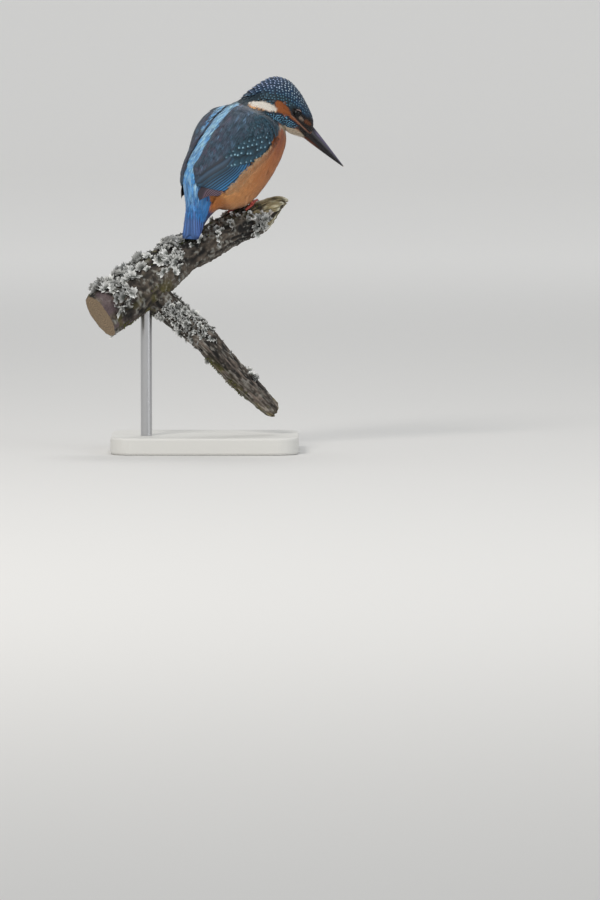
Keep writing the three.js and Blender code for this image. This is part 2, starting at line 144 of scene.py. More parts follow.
def to_stand(points):
    """From the bird's frame, in millimetres, to the stand's, in metres."""
    cos, sin = math.cos(HEADING), math.sin(HEADING)
    x, y, z = points[..., 0], points[..., 1], points[..., 2]
    return (np.stack([x * cos - y * sin, x * sin + y * cos, z], -1) + BIRD_AT) * MM


def repeat(colour, *shape):
    return np.broadcast_to(colour, (*shape, 3)).copy()


def unit(vectors):
    return vectors / np.maximum(np.linalg.norm(vectors, axis=-1, keepdims=True), 1e-9)


def travel(points):
    """How far along a line of points each of them is."""
    return np.concatenate([[0], np.cumsum(np.linalg.norm(np.diff(points, axis=0), axis=1))])


# ------------------------------------------------------------------------------ colours
def srgb(code):
    """A colour written as it looks, as linear numbers."""
    v = np.array([int(code[i : i + 2], 16) for i in (1, 3, 5)]) / 255
    return np.where(v <= 0.04045, v / 12.92, ((v + 0.055) / 1.055) ** 2.4)


CROWN = srgb("#07304f")
CROWN_SPOT = srgb("#d4e9f8")
NAPE_SPOT = srgb("#a9b9ee")
BAND_SPOT = srgb("#5b90a8")
BELOW_CROWN = srgb("#102e3c")
EAR = srgb("#a85e2b")
EAR_DEEP = srgb("#a5501f")
NECK_PATCH = srgb("#fff7ec")
NECK_BUFF = srgb("#d99a58")
MALAR = srgb("#0b2038")
MALAR_BAR = srgb("#7cc2e6")
THROAT = srgb("#efe2cb")
LORE = srgb("#1d1512")
LORE_SPOT = srgb("#a89484")
GAPE = srgb("#c39a84")
LORE_RUST = srgb("#86491f")
MANTLE = srgb("#434d60")
MANTLE_GREEN = srgb("#2c4a58")
MANTLE_DUSKY = srgb("#54475a")
MANTLE_GLINT = srgb("#5f87a8")
BREAST_SIDE = srgb("#27495a")
STRIPE = srgb("#40a0ea")
# the near-white blue of a painted highlight on the stripe
STRIPE_HIGHLIGHT = srgb("#bfe8ff")
# deeper blue of strands at random, and of painted shade beside the rump
STRIPE_DEEP_AND_SHADE = srgb("#1b5f9c")
RUMP = srgb("#3f93dd")
TAIL = srgb("#4a74b8")
TAIL_DARK = srgb("#2b4687")
BREAST = srgb("#cd7c43")
BREAST_PINK = srgb("#a9604a")
BELLY = srgb("#dd9a5b")
CRISSUM = srgb("#c47736")
FRINGE = srgb("#e5b581")
FRINGE_PALE = srgb("#f0dcc0")
COVERT = srgb("#1d4a60")
COVERT_SPOT = srgb("#a5d3e8")
SECONDARY = srgb("#24506f")
SECONDARY_DARK = srgb("#12232f")
PRIMARY = srgb("#3b303c")
PRIMARY_EDGE = srgb("#9a7c8e")
SECONDARY_BRIGHT = srgb("#2c6a92")
TERTIAL = srgb("#2b5672")
LID = srgb("#191312")
# the pale pink of a painted highlight on the lids
LID_HIGHLIGHT = srgb("#b9a09c")


# ------------------------------------------------------------------------------ meshes from arrays
def new_mesh(name, points, made, *groups):
    """A smooth object from points in metres and groups of faces, which differ in their corners."""
    corners = np.concatenate([faces.ravel() for faces in groups])
    sizes = np.concatenate([np.full(len(faces), faces.shape[1]) for faces in groups])
    mesh = bpy.data.meshes.new(name)
    mesh.vertices.add(len(points))
    mesh.vertices.foreach_set("co", np.asarray(points, np.float32).ravel())
    mesh.loops.add(len(corners))
    mesh.loops.foreach_set("vertex_index", corners.astype(np.int32))
    mesh.polygons.add(len(sizes))
    mesh.polygons.foreach_set("loop_start", (np.cumsum(sizes) - sizes).astype(np.int32))
    mesh.polygons.foreach_set("use_smooth", np.full(len(sizes), True))
    mesh.update(calc_edges=True)
    mesh.validate()
    mesh.materials.append(made)
    obj = bpy.data.objects.new(name, mesh)
    bpy.context.scene.collection.objects.link(obj)
    return obj


def add_uv(obj, name, uv):
    """A UV map from one place per vertex."""
    layer = obj.data.uv_layers.new(name=name)
    corner = np.empty(len(obj.data.loops), np.int32)
    obj.data.loops.foreach_get("vertex_index", corner)
    layer.data.foreach_set("uv", np.asarray(uv, np.float32)[corner].ravel())


def add_colour(obj, colour):
    """The markings, as one colour per vertex."""
    layer = obj.data.color_attributes.new("markings", "FLOAT_COLOR", "POINT")
    rgba = np.ones((len(colour), 4), np.float32)
    rgba[:, :3] = np.clip(colour, 0, 1)
    layer.data.foreach_set("color", rgba.ravel())


def grid_faces(rows, columns, closed=False, looped=False):
    """Quads of a grid of points. closed joins its last column to its first, and looped its rows."""
    across, down = np.arange(columns if closed else columns - 1), np.arange(rows if looped else rows - 1)
    i, j = np.meshgrid(down, across, indexing="ij")
    k, m = (j + 1) % columns, (i + 1) % rows
    corners = [i * columns + j, i * columns + k, m * columns + k, m * columns + j]
    return np.stack(corners, -1).reshape(-1, 4)


def end_fans(rows, columns):
    """Triangles over the ends of a closed grid, round two points that come after the grid's own."""
    j = np.arange(columns)
    k = (j + 1) % columns
    base = (rows - 1) * columns
    middle = np.full(columns, rows * columns)
    return np.vstack([np.stack([j, middle, k], -1), np.stack([base + j, base + k, middle + 1], -1)])


def copied(faces, points, count):
    """The faces of a template's copies, each with so many points."""
    return (faces[None] + points * np.arange(count)[:, None, None]).reshape(-1, faces.shape[1])


def declare(obj, slot, *nodes):
    """The piece rides on the model and stands for CAD nodes. slot is not used."""
    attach(obj, "root")
    if nodes:
        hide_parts(*nodes)


# ------------------------------------------------------------------------------ materials
def material(name, colour=(0.8, 0.8, 0.8), **sockets):
    """A material with values on its shader's own sockets."""
    made = bpy.data.materials.new(name)
    made.use_nodes = True
    inputs = made.node_tree.nodes["Principled BSDF"].inputs
    inputs["Base Color"].default_value = (*colour, 1)
    for key, value in sockets.items():
        inputs[key.replace("_", " ")].default_value = value
    return made


class Nodes:
    """Short ways to add the nodes of a material and to join them."""

    def __init__(self, made):
        self.tree = made.node_tree
        self.shader = self.tree.nodes["Principled BSDF"]

    def add(self, kind, **settings):
        node = self.tree.nodes.new(kind)
        for key, value in settings.items():
            setattr(node, key, value)
        return node

    def feed(self, socket, value):
        if isinstance(value, bpy.types.NodeSocket):
            self.tree.links.new(value, socket)
        else:
            socket.default_value = value

    def math(self, operation, a, b=0.0, c=0.0):
        node = self.add("ShaderNodeMath", operation=operation)
        for socket, value in zip(node.inputs, (a, b, c)):
            self.feed(socket, value)
        return node.outputs[0]

    def mix(self, factor, a, b, blend="MIX"):
        # inputs 6 and 7 and output 2 are the ones for colours
        node = self.add("ShaderNodeMix", data_type="RGBA", blend_type=blend)
        for socket, value in zip((node.inputs[0], node.inputs[6], node.inputs[7]), (factor, a, b)):
            self.feed(socket, value)
        return node.outputs[2]

    def markings(self):
        return self.add("ShaderNodeVertexColor", layer_name="markings").outputs["Color"]

    def object_place(self):
        return self.add("ShaderNodeTexCoord").outputs["Object"]

    def noise(self, scale, detail=4.0, roughness=0.6):
        node = self.add("ShaderNodeTexNoise")
        self.feed(node.inputs["Vector"], self.object_place())
        for key, value in (("Scale", scale), ("Detail", detail), ("Roughness", roughness)):
            node.inputs[key].default_value = value
        return node.outputs["Fac"]

    def steps(self, factor, *stops):
        """A colour between two, each given with its place."""
        node = self.add("ShaderNodeValToRGB")
        for element, (place, colour) in zip(node.color_ramp.elements, stops):
            element.position = place
            element.color = (*colour, 1)
        self.feed(node.inputs["Fac"], factor)
        return node.outputs["Color"]

    def bump(self, height, strength, distance):
        node = self.add("ShaderNodeBump")
        node.inputs["Strength"].default_value = strength
        node.inputs["Distance"].default_value = distance
        self.feed(node.inputs["Height"], height)
        self.feed(self.shader.inputs["Normal"], node.outputs["Normal"])

    def colour(self, value):
        self.feed(self.shader.inputs["Base Color"], value)

    def shaded_markings(self, factor, *greys):
        """The piece's markings, times the grey that a factor picks."""
        shade = self.steps(factor, *((place, (grey,) * 3) for place, grey in greys))
        self.colour(self.mix(1.0, self.markings(), shade, "MULTIPLY"))


def barbs(nodes, spacing, slant):
    """Fine lines that run out from a feather's shaft at a slant. Its map is in millimetres."""
    split = nodes.add("ShaderNodeSeparateXYZ")
    nodes.feed(split.inputs[0], nodes.add("ShaderNodeUVMap", uv_map="Vane").outputs["UV"])
    across = nodes.math("ABSOLUTE", split.outputs["X"])
    along = nodes.math("MULTIPLY_ADD", across, -slant, split.outputs["Y"])
    return nodes.math("SINE", nodes.math("MULTIPLY", along, 2 * math.pi / spacing))


def plumage_material(name, spacing, slant, depth, roughness, sheen):
    made = material(name, Roughness=roughness, Sheen_Weight=sheen, Sheen_Roughness=0.4)
    nodes = Nodes(made)
    lines = barbs(nodes, spacing, slant)
    nodes.shaded_markings(nodes.math("MULTIPLY_ADD", lines, 0.5, 0.5), (0, 0.72), (1, 1.08))
    nodes.bump(lines, 0.5, depth)
    return made


def grained_material(name, roughness, grain, greys, strength, depth, **sockets):
    """A material of markings under a fine grain. grain is its scale, detail and roughness."""
    made = material(name, Roughness=roughness, **sockets)
    nodes = Nodes(made)
    height = nodes.noise(*grain)
    nodes.shaded_markings(height, (0.3, greys[0]), (0.7, greys[1]))
    nodes.bump(height, strength, depth)
    return made


SOFT = plumage_material("soft plumage", spacing=0.5, slant=0.9, depth=0.0001, roughness=0.7, sheen=0.25)
VANE = plumage_material("vane plumage", spacing=0.42, slant=1.1, depth=0.00012, roughness=0.55, sheen=0.04)
SKIN = grained_material("skin", 0.75, (900.0,), (0.55, 1.0), 0.4, 0.0006)


# ------------------------------------------------------------------------------ markings
# The angles round the body of a folded wing's upper and lower edge, at its front and its rear, and the
# stations between which it hides the coat.
WING_UPPER = (10, 32)
WING_LOWER = (97, 86)
WING_HIDES = (3.6, 8.3)


def wing_limits(station):
    """The angles of the wing's upper and lower edge at a station, in degrees."""
    upper = mix(WING_UPPER[1], WING_UPPER[0], ramp(station, 3.2, 5.0))
    lower = mix(WING_LOWER[1], WING_LOWER[0], ramp(station, 5.6, 7.6))
    return upper, lower


# The line of the bill on the side of the head: where it is measured from, forward and up, and the
# cosine and sine of how far it points down.
FACE_ZERO = (70.4, 87.7)
FACE_DOWN = (0.719, 0.695)
FACE_EYE = (3.5, 3.2)  # the middle of the eye from there, forward along the bill and up from it


def head_plane(station, angle):
    """Places on the side of the turned head: how far forward along the bill, and how far up from it."""
    p = to_stand(on_body(station, np.abs(angle))) / MM
    dx = p[..., 0] - NECK_X * math.cos(HEADING) + NECK_X - FACE_ZERO[0]
    dz = p[..., 2] - BIRD_AT[2] - FACE_ZERO[1]
    cos, sin = FACE_DOWN
    return cos * dx - sin * dz, sin * dx + cos * dz


def nearest_on(f, u, start, end):
    """How far along a line its nearest point is to places, from 0 to 1, and how far away."""
    way = np.subtract(end, start)
    rel = np.stack([f - start[0], u - start[1]], -1)
    t = np.clip(rel @ way / (way @ way), 0, 1)
    return t, np.linalg.norm(rel - t[..., None] * way, axis=-1)


def patch(f, u, start, end, radius_start, radius_end):
    """How far inside a tapering rounded patch places are, in millimetres; outside is negative."""
    t, away = nearest_on(f, u, start, end)
    return mix(radius_start, radius_end, t) - away


def within(f, u, corners):
    """How far inside a patch with these corners places are, in millimetres; outside is negative."""
    nearest = np.full(f.shape, np.inf)
    inside = np.zeros(f.shape, bool)
    for start, end in zip(corners, corners[1:] + corners[:1]):
        nearest = np.minimum(nearest, nearest_on(f, u, start, end)[1])
        crossing = start[0] + (u - start[1]) * (end[0] - start[0]) / ((end[1] - start[1]) or 1e-9)
        inside ^= ((start[1] > u) != (end[1] > u)) & (f < crossing)
    return np.where(inside, nearest, -nearest)


# The patches of the head by their corners, forward along the bill and up from it, in millimetres.
EAR_PATCH = [(-14.6, -0.9), (-10.2, 1.9), (-6.5, 2.5), (-3.2, 1.9), (-0.8, 0.8), (1.6, -0.2), (6.8, -0.6),
             (11.2, -0.8), (11.2, -1.3), (6.2, -1.6), (1.5, -2.4), (-2.4, -3.5), (-6.8, -5.8), (-10.5, -3.8)]
WHITE_PATCH = [(-26.6, -15.6), (-23.6, -11.4), (-20.4, -8.4), (-16.5, -5.6), (-12.8, -4.2), (-8.8, -4.6),
               (-7.2, -6.1), (-9.6, -9.0), (-13.2, -11.2), (-20.2, -14.8), (-24.6, -17.0)]
MALAR_PATCH = [(-12.5, -10.9), (-9, -9.0), (-5.6, -6.6), (-2.6, -4.3), (2.2, -2.8), (7, -1.8), (10.4, -2.6),
               (9.4, -4.8), (5.2, -8.4), (-0.4, -9.8), (-6, -11.6)]
LORE_PATCH = [(0.6, 0.9), (-1.2, 3.0), (0.2, 6.4), (4.0, 6.9), (8.0, 6.2), (12.2, 8.6), (20, 5.0), (20, -0.6),
              (11.6, -0.6), (6.5, -0.1)]
BILL_SIDE = [(10.2, -1.4), (23, -0.8), (23, -5.4), (17, -5.0), (12.4, -4.3), (9.6, -5.0)]
# How high the spotted crown starts over the line of the bill, from the nape to the forehead.
CROWN_FROM = ((-40, -26), (-32, -17), (-28.3, -10), (-24.4, -3.0), (-18.6, 1.6), (-14, 4.6), (-8.8, 6.2),
              (-3, 7.2), (3.7, 6.8), (7.9, 6.2), (11.7, 8.2), (18, 5.0))


def wobble(station, angle, scale=1.0, seed=0.0):
    """A smooth uneven value between -1 and 1 over the body."""
    a = np.sin(scale * (station * 5.1 + angle * 3.7) + seed)
    b = np.sin(scale * (station * 9.7 - angle * 7.9) + 1.7 * seed + 1.3)
    return 0.6 * a + 0.4 * b


def stripe_half(station):
    """Half the width of the azure stripe of the back, in millimetres: narrower between the shoulders."""
    return np.interp(station, (3.5, 5.0, 6.2, 7.6, 8.8, 9.8), (5.6, 5.2, 4.3, 3.0, 3.2, 3.8))


def from_back(station, angle):
    """The distance along the skin from the middle of the back."""
    half = spline(STATIONS, np.asarray(station, float))[..., 4]
    return np.abs(angle) * half * 0.98


def markings(station, angle):
    """The base colour of the plumage over the body, and how much of a pale spot a feather carries."""
    side = np.abs(angle)
    f, u = head_plane(station, side)
    n = wobble(station, side)
    fine = wobble(station, side, 4.0, 2.0)
    colour = repeat(BREAST, *station.shape)

    def lay(amount, new):
        colour[...] = mix(colour, new, np.clip(amount, 0, 1)[..., None])

    # underside, from the breast to below the tail
    front = ramp(side, 1.9, 2.9)
    lay(ramp(station, 7.2, 4.0), BELLY)
    lay(ramp(station, 3.9, 3.0), CRISSUM)
    pink = np.exp(-(((side - 2.02) / 0.16) ** 2)) * ramp(station, 6.4, 7.8)
    lay(0.75 * pink, BREAST_PINK)
    lay(0.3 * front * ramp(station, 7.5, 9.5), THROAT)
    # upper side
    _, lower = wing_limits(station)
    edge = np.radians(lower - 5) + 0.03 * n + 0.24 * ramp(station, 7.8, 8.2)
    lay(0.6 * ramp(side - edge, 0.5, 0.1) * ramp(station, 7.6, 6.4) * ramp(station, 4.2, 4.8), FRINGE)
    upper = ramp(side, edge + 0.06, edge - 0.06)
    mantle = upper * ramp(station, 3.6, 4.4)
    lay(mantle, mix(MANTLE, MANTLE_GREEN, (0.5 + 0.5 * fine)[..., None]))
    lay(mantle * ramp(station, 8.0, 9.0) * ramp(side, 1.0, 1.3), BREAST_SIDE)
    away = from_back(station, angle)
    stripe = ramp(away - stripe_half(station) - n, 1.0, -0.6) * ramp(station, 10.0, 9.6)
    # the azure stripe, with a painted highlight that grows up towards the shoulders
    lay(stripe, mix(STRIPE, STRIPE_HIGHLIGHT, (0.35 * ramp(station, 5.0, 8.5) + 0.1 * n)[..., None]))
    tail_side = mix(1.62, 1.3, ramp(station, 2.2, 3.2))
    tail_top = ramp(side - tail_side, 0.05, -0.05) * ramp(station, 4.6, 3.9)
    lay(tail_top, RUMP)
    lay(ramp(station, 2.2, 1.2), TAIL)
    lay(ramp(station, 1.6, 0.6) * ramp(side, 1.5, 1.9), TAIL_DARK)
    # head and neck
    head = ramp(station, 9.2, 9.7)
    lay(head * upper, BELOW_CROWN)
    crown_low = np.interp(f, *zip(*CROWN_FROM))
    crown = ramp(u - crown_low + 0.4 * fine, -0.5, 0.5) * ramp(station, 9.35, 9.6) * ramp(side, 2.2, 2.0)
    lay(crown, CROWN)
    band = head * ramp(side, 1.75, 1.6) * ramp(station, 9.35, 9.6) * ramp(f, -26, -20)
    spot = np.maximum(crown, 0.75 * band)
    spot_colour = mix(CROWN_SPOT, NAPE_SPOT, (0.8 * ramp(f, -12, -24))[..., None])
    spot_colour = mix(spot_colour, BAND_SPOT, ramp(u - crown_low, 7.0, 0.5)[..., None])
    throat = ramp(u + 1.2 * np.cos(3 * side) + 0.6 * n, -13.2, -9.8)
    lay(throat * ramp(side, 2.3, 2.6) * ramp(station, 9.5, 10.3), THROAT)
    lay(ramp(patch(f, u, (3.4, -10.0), (19, -7.0), 2.8, 2.6), -0.6, 0.6), THROAT)
    ear = within(f, u, EAR_PATCH)
    lay(ramp(ear + 0.25 * fine, -0.6, 0.8), EAR)
    lay(0.7 * ramp(ear, 1.2, 2.4) * ramp(u, -1.5, 1.5), EAR_DEEP)
    neck = within(f, u, WHITE_PATCH)
    lay(ramp(neck + 0.3 * fine, -0.5, 0.3) * ramp(f, -27.5, -24.0), NECK_BUFF)
    # along its lower side the white stops short, so that its buff rim is wider there: painted shade
    below = ramp(u - 0.62 * f, 1.8, -1.8)
    depth = neck + 0.1 * fine - below * mix(0.3, 1.2, ramp(f, -11, -17))
    lay(ramp(depth, -0.6, 0.1 + 0.8 * below), NECK_PATCH)
    malar = within(f, u, MALAR_PATCH)
    in_malar = ramp(malar + 0.2 * fine, -0.3, 0.3)
    lay(in_malar, MALAR)
    spot = np.where(in_malar > 0.5, in_malar, spot * (1 - in_malar))
    spot_colour = mix(spot_colour, MALAR_BAR, in_malar[..., None])
    lore = np.maximum(within(f, u, LORE_PATCH), within(f, u, BILL_SIDE))
    in_lore = ramp(lore, -0.4, 0.4)
    lay(in_lore, LORE)
    lay(0.85 * ramp(patch(f, u, (7.4, 2.7), (9.6, 2.6), 1.2, 0.9), -0.5, 0.5), LORE_SPOT)
    lay(0.8 * ramp(patch(f, u, (12.2, 3.6), (15.2, 4.2), 1.5, 1.2), -0.5, 0.6), LORE_RUST)
    lay(0.9 * ramp(np.abs(u + 0.55 + 0.04 * f), 0.34, 0.12) * ramp(f, 1.0, 2.5) * ramp(side, 2.2, 2.0), GAPE)
    pale = np.maximum(ramp(ear, -0.6, 0.0), ramp(neck, -0.6, 0.0))
    spot = spot * (1 - pale) * (1 - in_lore)
    return colour, spot, spot_colour


# ------------------------------------------------------------------------------ skin
EYE_AT = np.array([75.2, 8.7, 87.6])
EYE_RADIUS = 3.1
SOCKET_DEPTH = 2.4
LID_RADIUS = 2.35  # of the opening between the lids
LID_THICKNESS = 0.32


def eye_place(side):
    """The middle of an eye, before the head turns."""
    return EYE_AT * [1, -side, 1]


def coat_depth(station):
    """How deep the skin lies under the coat's surface."""
    return mix(1.6, 0.7, ramp(station, 9.0, 12.0)) * ramp(station, 0.0, 2.5) + 0.25


def dress_skin():
    """One closed skin over trunk, neck, head and tail, inside the coat, with a socket for each eye."""
    rows, columns = 260, 120
    turn = np.linspace(0, 2 * np.pi, columns, endpoint=False)
    angle = np.where(turn > np.pi, turn - 2 * np.pi, turn)
    s, a = np.meshgrid(np.linspace(0, LAST, rows), angle, indexing="ij")
    points = on_body(s, a, -coat_depth(s))
    for side in SIDES.values():
        away = np.linalg.norm(points - on_head(eye_place(side)), axis=-1)
        points[..., 1] += side * SOCKET_DEPTH * ramp(away, EYE_RADIUS + 0.5, EYE_RADIUS - 0.9)
    points = np.vstack([points.reshape(-1, 3), points[0].mean(0), points[-1].mean(0)])
    skin = new_mesh("skin", to_stand(points), SKIN, grid_faces(rows, columns, closed=True),
                    end_fans(rows, columns))
    colour = 0.85 * markings(s, a)[0].reshape(-1, 3)
    add_colour(skin, np.vstack([colour, colour[:1], colour[-1:]]))
    uv = np.stack([a / (2 * np.pi) + 0.5, s / LAST], -1).reshape(-1, 2)
    add_uv(skin, "OFBake", np.vstack([uv, uv[:1], uv[-1:]]))
    declare(skin, "body_plumage", "trunk", "neck", "head", "tail")


# ------------------------------------------------------------------------------ feathers
def vane_template(rows, edges, tip=0.4, root=0.3, blunt=2.2):
    """A feather's grid: along it from 0 to 1, and at each row across it at edges from -1 to 1."""
    along = np.linspace(0, 1, rows)
    near = np.clip(along / root, 0, 1)
    far = np.clip((along - (1 - tip)) / tip, 0, 1)
    half = (0.25 + 0.75 * np.sin(near * np.pi / 2)) * (1 - far**blunt) ** 0.5
    half[-1] = max(half[-1], 0.12)
    x, y = np.meshgrid(edges, along)
    # The tip is rounded: the sides stop a little short of the shaft.
    y = y - 0.06 * x**2 * ramp(y, 0.5, 1.0)
    return {
        "across": (x * half[:, None]).ravel(),
        "along": y.ravel(),
        "rib": x.ravel(),
        "faces": grid_faces(rows, len(edges))[:, ::-1],
    }


def tuft_template(strands, rows, spread=1.0, seed=3, thin=1.0):
    """A loose tuft: narrow strands that fan out from one root, each a tapering strip."""
    rng = np.random.default_rng(seed)
    across, along, rib, faces = [], [], [], []
    for k in range(strands):
        lean = (2 * (k + 0.5) / strands - 1) * spread
        reach = 1 - 0.28 * abs(lean) - 0.12 * rng.random()
        bend = 0.15 * (rng.random() - 0.5)
        faces.append(grid_faces(rows, 2)[:, ::-1] + len(across))
        for t in np.linspace(0, 1, rows):
            middle = lean * (0.35 + 0.65 * t**0.8) + bend * t * t
            half = thin * (1.25 / strands) * (1 - t**1.6) + 0.02
            for side in (-1, 1):
                across.append(middle + side * half)
                along.append(reach * t)
                rib.append(side)
    return {
        "across": np.array(across),
        "along": np.array(along),
        "rib": np.array(rib),
        "faces": np.vstack(faces),
    }


def basis(surface, place):
    """Steps in the surface's two coordinates as vectors, and its outward normal."""
    h = 1e-3
    s, a = place[..., 0], place[..., 1]
    ds = (surface(s + h, a) - surface(s - h, a)) / (2 * h)
    da = (surface(s, a + h) - surface(s, a - h)) / (2 * h)
    return ds, da, unit(np.cross(da, ds))


def step_of(ds, da, vector):
    """The coordinate step that moves along a vector in the surface."""
    m11, m12, m22 = (ds * ds).sum(-1), (ds * da).sum(-1), (da * da).sum(-1)
    v1, v2 = (ds * vector).sum(-1), (da * vector).sum(-1)
    det = np.maximum(m11 * m22 - m12**2, 1e-6)
    return np.stack([(m22 * v1 - m12 * v2) / det, (m11 * v2 - m12 * v1) / det], -1)


BAKE_REACH = 0.0015  # half the size of a feather's place in the map for baking
REARMOST = -0.15  # the station that no feather goes past


class Coat:
    """Gathers feathers for one piece of the coat."""

    def __init__(self, name, made):
        self.name, self.made = name, made
        self.points, self.faces, self.colours, self.vane, self.bake = [], [], [], [], []
        self.count = 0

    def add(self, surface, template, root, tip, width, rise, paint, painted=0.0):
        """Lays feathers from root to tip places on a surface.

        rise gives the height off the surface along and across each feather, and paint its colour.
        painted is the share of the markings that run on over the feathers instead of changing from
        one feather to the next.
        """
        n, m = len(root), len(template["along"])
        along, across = template["along"][None], template["across"][None]
        way = (tip - root)[:, None]
        place = root[:, None] + way * along[..., None]
        ds, da, normal = basis(surface, place)
        forward = way[..., :1] * ds + way[..., 1:] * da
        sideways = unit(np.cross(normal, forward))
        offset = across * np.broadcast_to(width, n)[:, None] / 2
        spot = place + step_of(ds, da, sideways) * offset[..., None]
        s, a = spot[..., 0], spot[..., 1]
        colour = paint(along, across, np.broadcast_to(template["rib"], (n, m)))
        if painted:
            colour = mix(colour, markings(s, a)[0], painted)
        middle = np.stack([root[:, 1] / (2 * np.pi) + 0.5, root[:, 0] / LAST], -1)
        reach = BAKE_REACH * np.stack(np.broadcast_arrays(across, 2 * along - 1), -1)
        self.points.append(to_stand(surface(s, a, rise(along, across))).reshape(-1, 3))
        self.faces.append(copied(template["faces"], m, n) + self.count)
        self.colours.append(colour.reshape(-1, 3))
        self.vane.append(np.stack([offset, along * np.linalg.norm(forward, axis=-1)], -1).reshape(-1, 2))
        self.bake.append((middle[:, None] + reach).reshape(-1, 2))
        self.count += n * m

    def build(self, slot):
        obj = new_mesh(self.name, np.vstack(self.points), self.made, np.vstack(self.faces))
        add_colour(obj, np.vstack(self.colours))
        add_uv(obj, "Vane", np.vstack(self.vane))
        add_uv(obj, "OFBake", np.vstack(self.bake))
        declare(obj, slot)


def rows_on_body(start, end, row_step, side_step, keep, jitter):
    """Staggered places over the body between two stations, spaced in millimetres."""
    samples = np.linspace(start, end, 400)
    high_up, low_down = 0.6, 2.2  # the angles of the two lines along the body that give its length
    travelled = np.mean([travel(on_body(samples, angle)) for angle in (high_up, low_down)], 0)
    count = max(2, int(travelled[-1] / row_step))
    stations = np.interp(np.linspace(0, travelled[-1], count), travelled, samples)
    ring = np.linspace(-np.pi, np.pi, 241)
    places = []
    for i, station in enumerate(stations):
        around = travel(on_body(station, ring))
        n = max(4, int(round(around[-1] / side_step)))
        angle = np.interp((np.arange(n) + 0.5 * (i % 2)) * around[-1] / n, around, ring)
        angle = angle + RNG.normal(0, jitter * side_step, n) * 2 * np.pi / around[-1]
        spread = RNG.normal(0, jitter * row_step, n) * (end - start) / travelled[-1]
        places.append(np.stack([station + spread, angle], -1))
    places = np.vstack(places)
    places[:, 1] = (places[:, 1] + np.pi) % (2 * np.pi) - np.pi
    return places[keep(*places.T)]


def onward(surface, place, length, lean=0.0):
    """Places that lie a length from others towards the tail, with a sideways lean."""
    ds, da, _ = basis(surface, place)
    way = unit(np.reshape(lean, (-1, 1)) * unit(da) - unit(ds))
    there = place + step_of(ds, da, way * np.reshape(length, (-1, 1)))
    there[:, 0] = np.maximum(there[:, 0], REARMOST)
    return there


def lying(low, high, camber=0.25, tilt=0.0):
    """The height of a feather: from its root at low up to its tip at high, arched and tilted across."""
    return lambda along, across: low + (high - low) * along**0.9 - camber * across**2 + tilt * across


def part_way(root, tip, share):
    """The places a share of the way along feathers, as stations and angles."""
    return (root + (tip - root) * share).T


def plain_paint(base, vary, tip_highlight, root_shade=0.35, streaks=0.0):
    """Each feather in its own colour, darker at its root with painted shade, lighter at its tip with a
    painted highlight, and streaked along.
    """
    tone = 1 + RNG.normal(0, vary, (len(base), 1, 1))
    phase = RNG.random((len(base), 1)) * 6

    def paint(along, across, rib):
        # painted shade towards the root, and a painted highlight towards the tip
        light = 1 - root_shade * (1 - ramp(along, 0.0, 0.5)) + tip_highlight * ramp(along, 0.6, 1.0)
        lines = 1 + streaks * np.sin(9 * across + phase)
        return base[:, None] * tone * (light * lines * np.ones(rib.shape))[..., None]

    return paint


def spotted_paint(base, spot, spot_colour, low, high, half, vary):
    """A dark feather with a pale spot short of its tip."""
    tone = 1 + RNG.normal(0, vary, (len(base), 1, 1))

    def paint(along, across, rib):
        inside = ramp(along, low - 0.05, low + 0.03) * ramp(along, high + 0.04, high - 0.03)
        inside = inside * ramp(np.abs(rib), half + 0.12, half - 0.12)
        shade = (0.65 + 0.35 * ramp(along, 0.1, 0.6))[..., None]
        return mix(base[:, None] * tone * shade, spot_colour[:, None], (inside * spot[:, None])[..., None])

    return paint


# ------------------------------------------------------------------------------ the coat of the body
CROWN_VANE = vane_template(11, np.linspace(-1, 1, 9))
TUFT = tuft_template(6, 4)
SMALL_TUFT = tuft_template(4, 3)
WISP = tuft_template(5, 5, spread=0.8, seed=11)
HAIRS = tuft_template(4, 4, seed=5, thin=0.36)
LONG_HAIRS = tuft_template(2, 4, seed=9, thin=0.4)
FRINGE_FEATHERS, FRINGE_STRANDS = 620, 150  # over the lower edge of each wing
STRAY_STRANDS = 34  # on each side of the stripe


def under_wing(station, angle, margin):
    """Places that the folded wings hide, from a margin of degrees inside their edges on."""
    side = np.degrees(np.abs(angle))
    upper, lower = wing_limits(station)
    rear, front = WING_HIDES
    return (station > rear) & (station < front) & (side > upper + margin) & (side < lower - margin)


def near_eye(station, angle, reach):
    """Places by the eyes, which stay free of feathers."""
    f, u = head_plane(station, angle)
    away = np.hypot(f - FACE_EYE[0], u - FACE_EYE[1])
    return (away < reach) & (np.abs(np.abs(angle) - 1.2) < 1.0) & (station > 12)


def face_size(station, angle):
    """How small feathers are: 1 on the body, less on the face."""
    f, _ = head_plane(station, angle)
    return mix(1.0, 0.55, ramp(station, 11.0, 14.0)) * mix(1.0, 0.75, ramp(f, 0, 12))


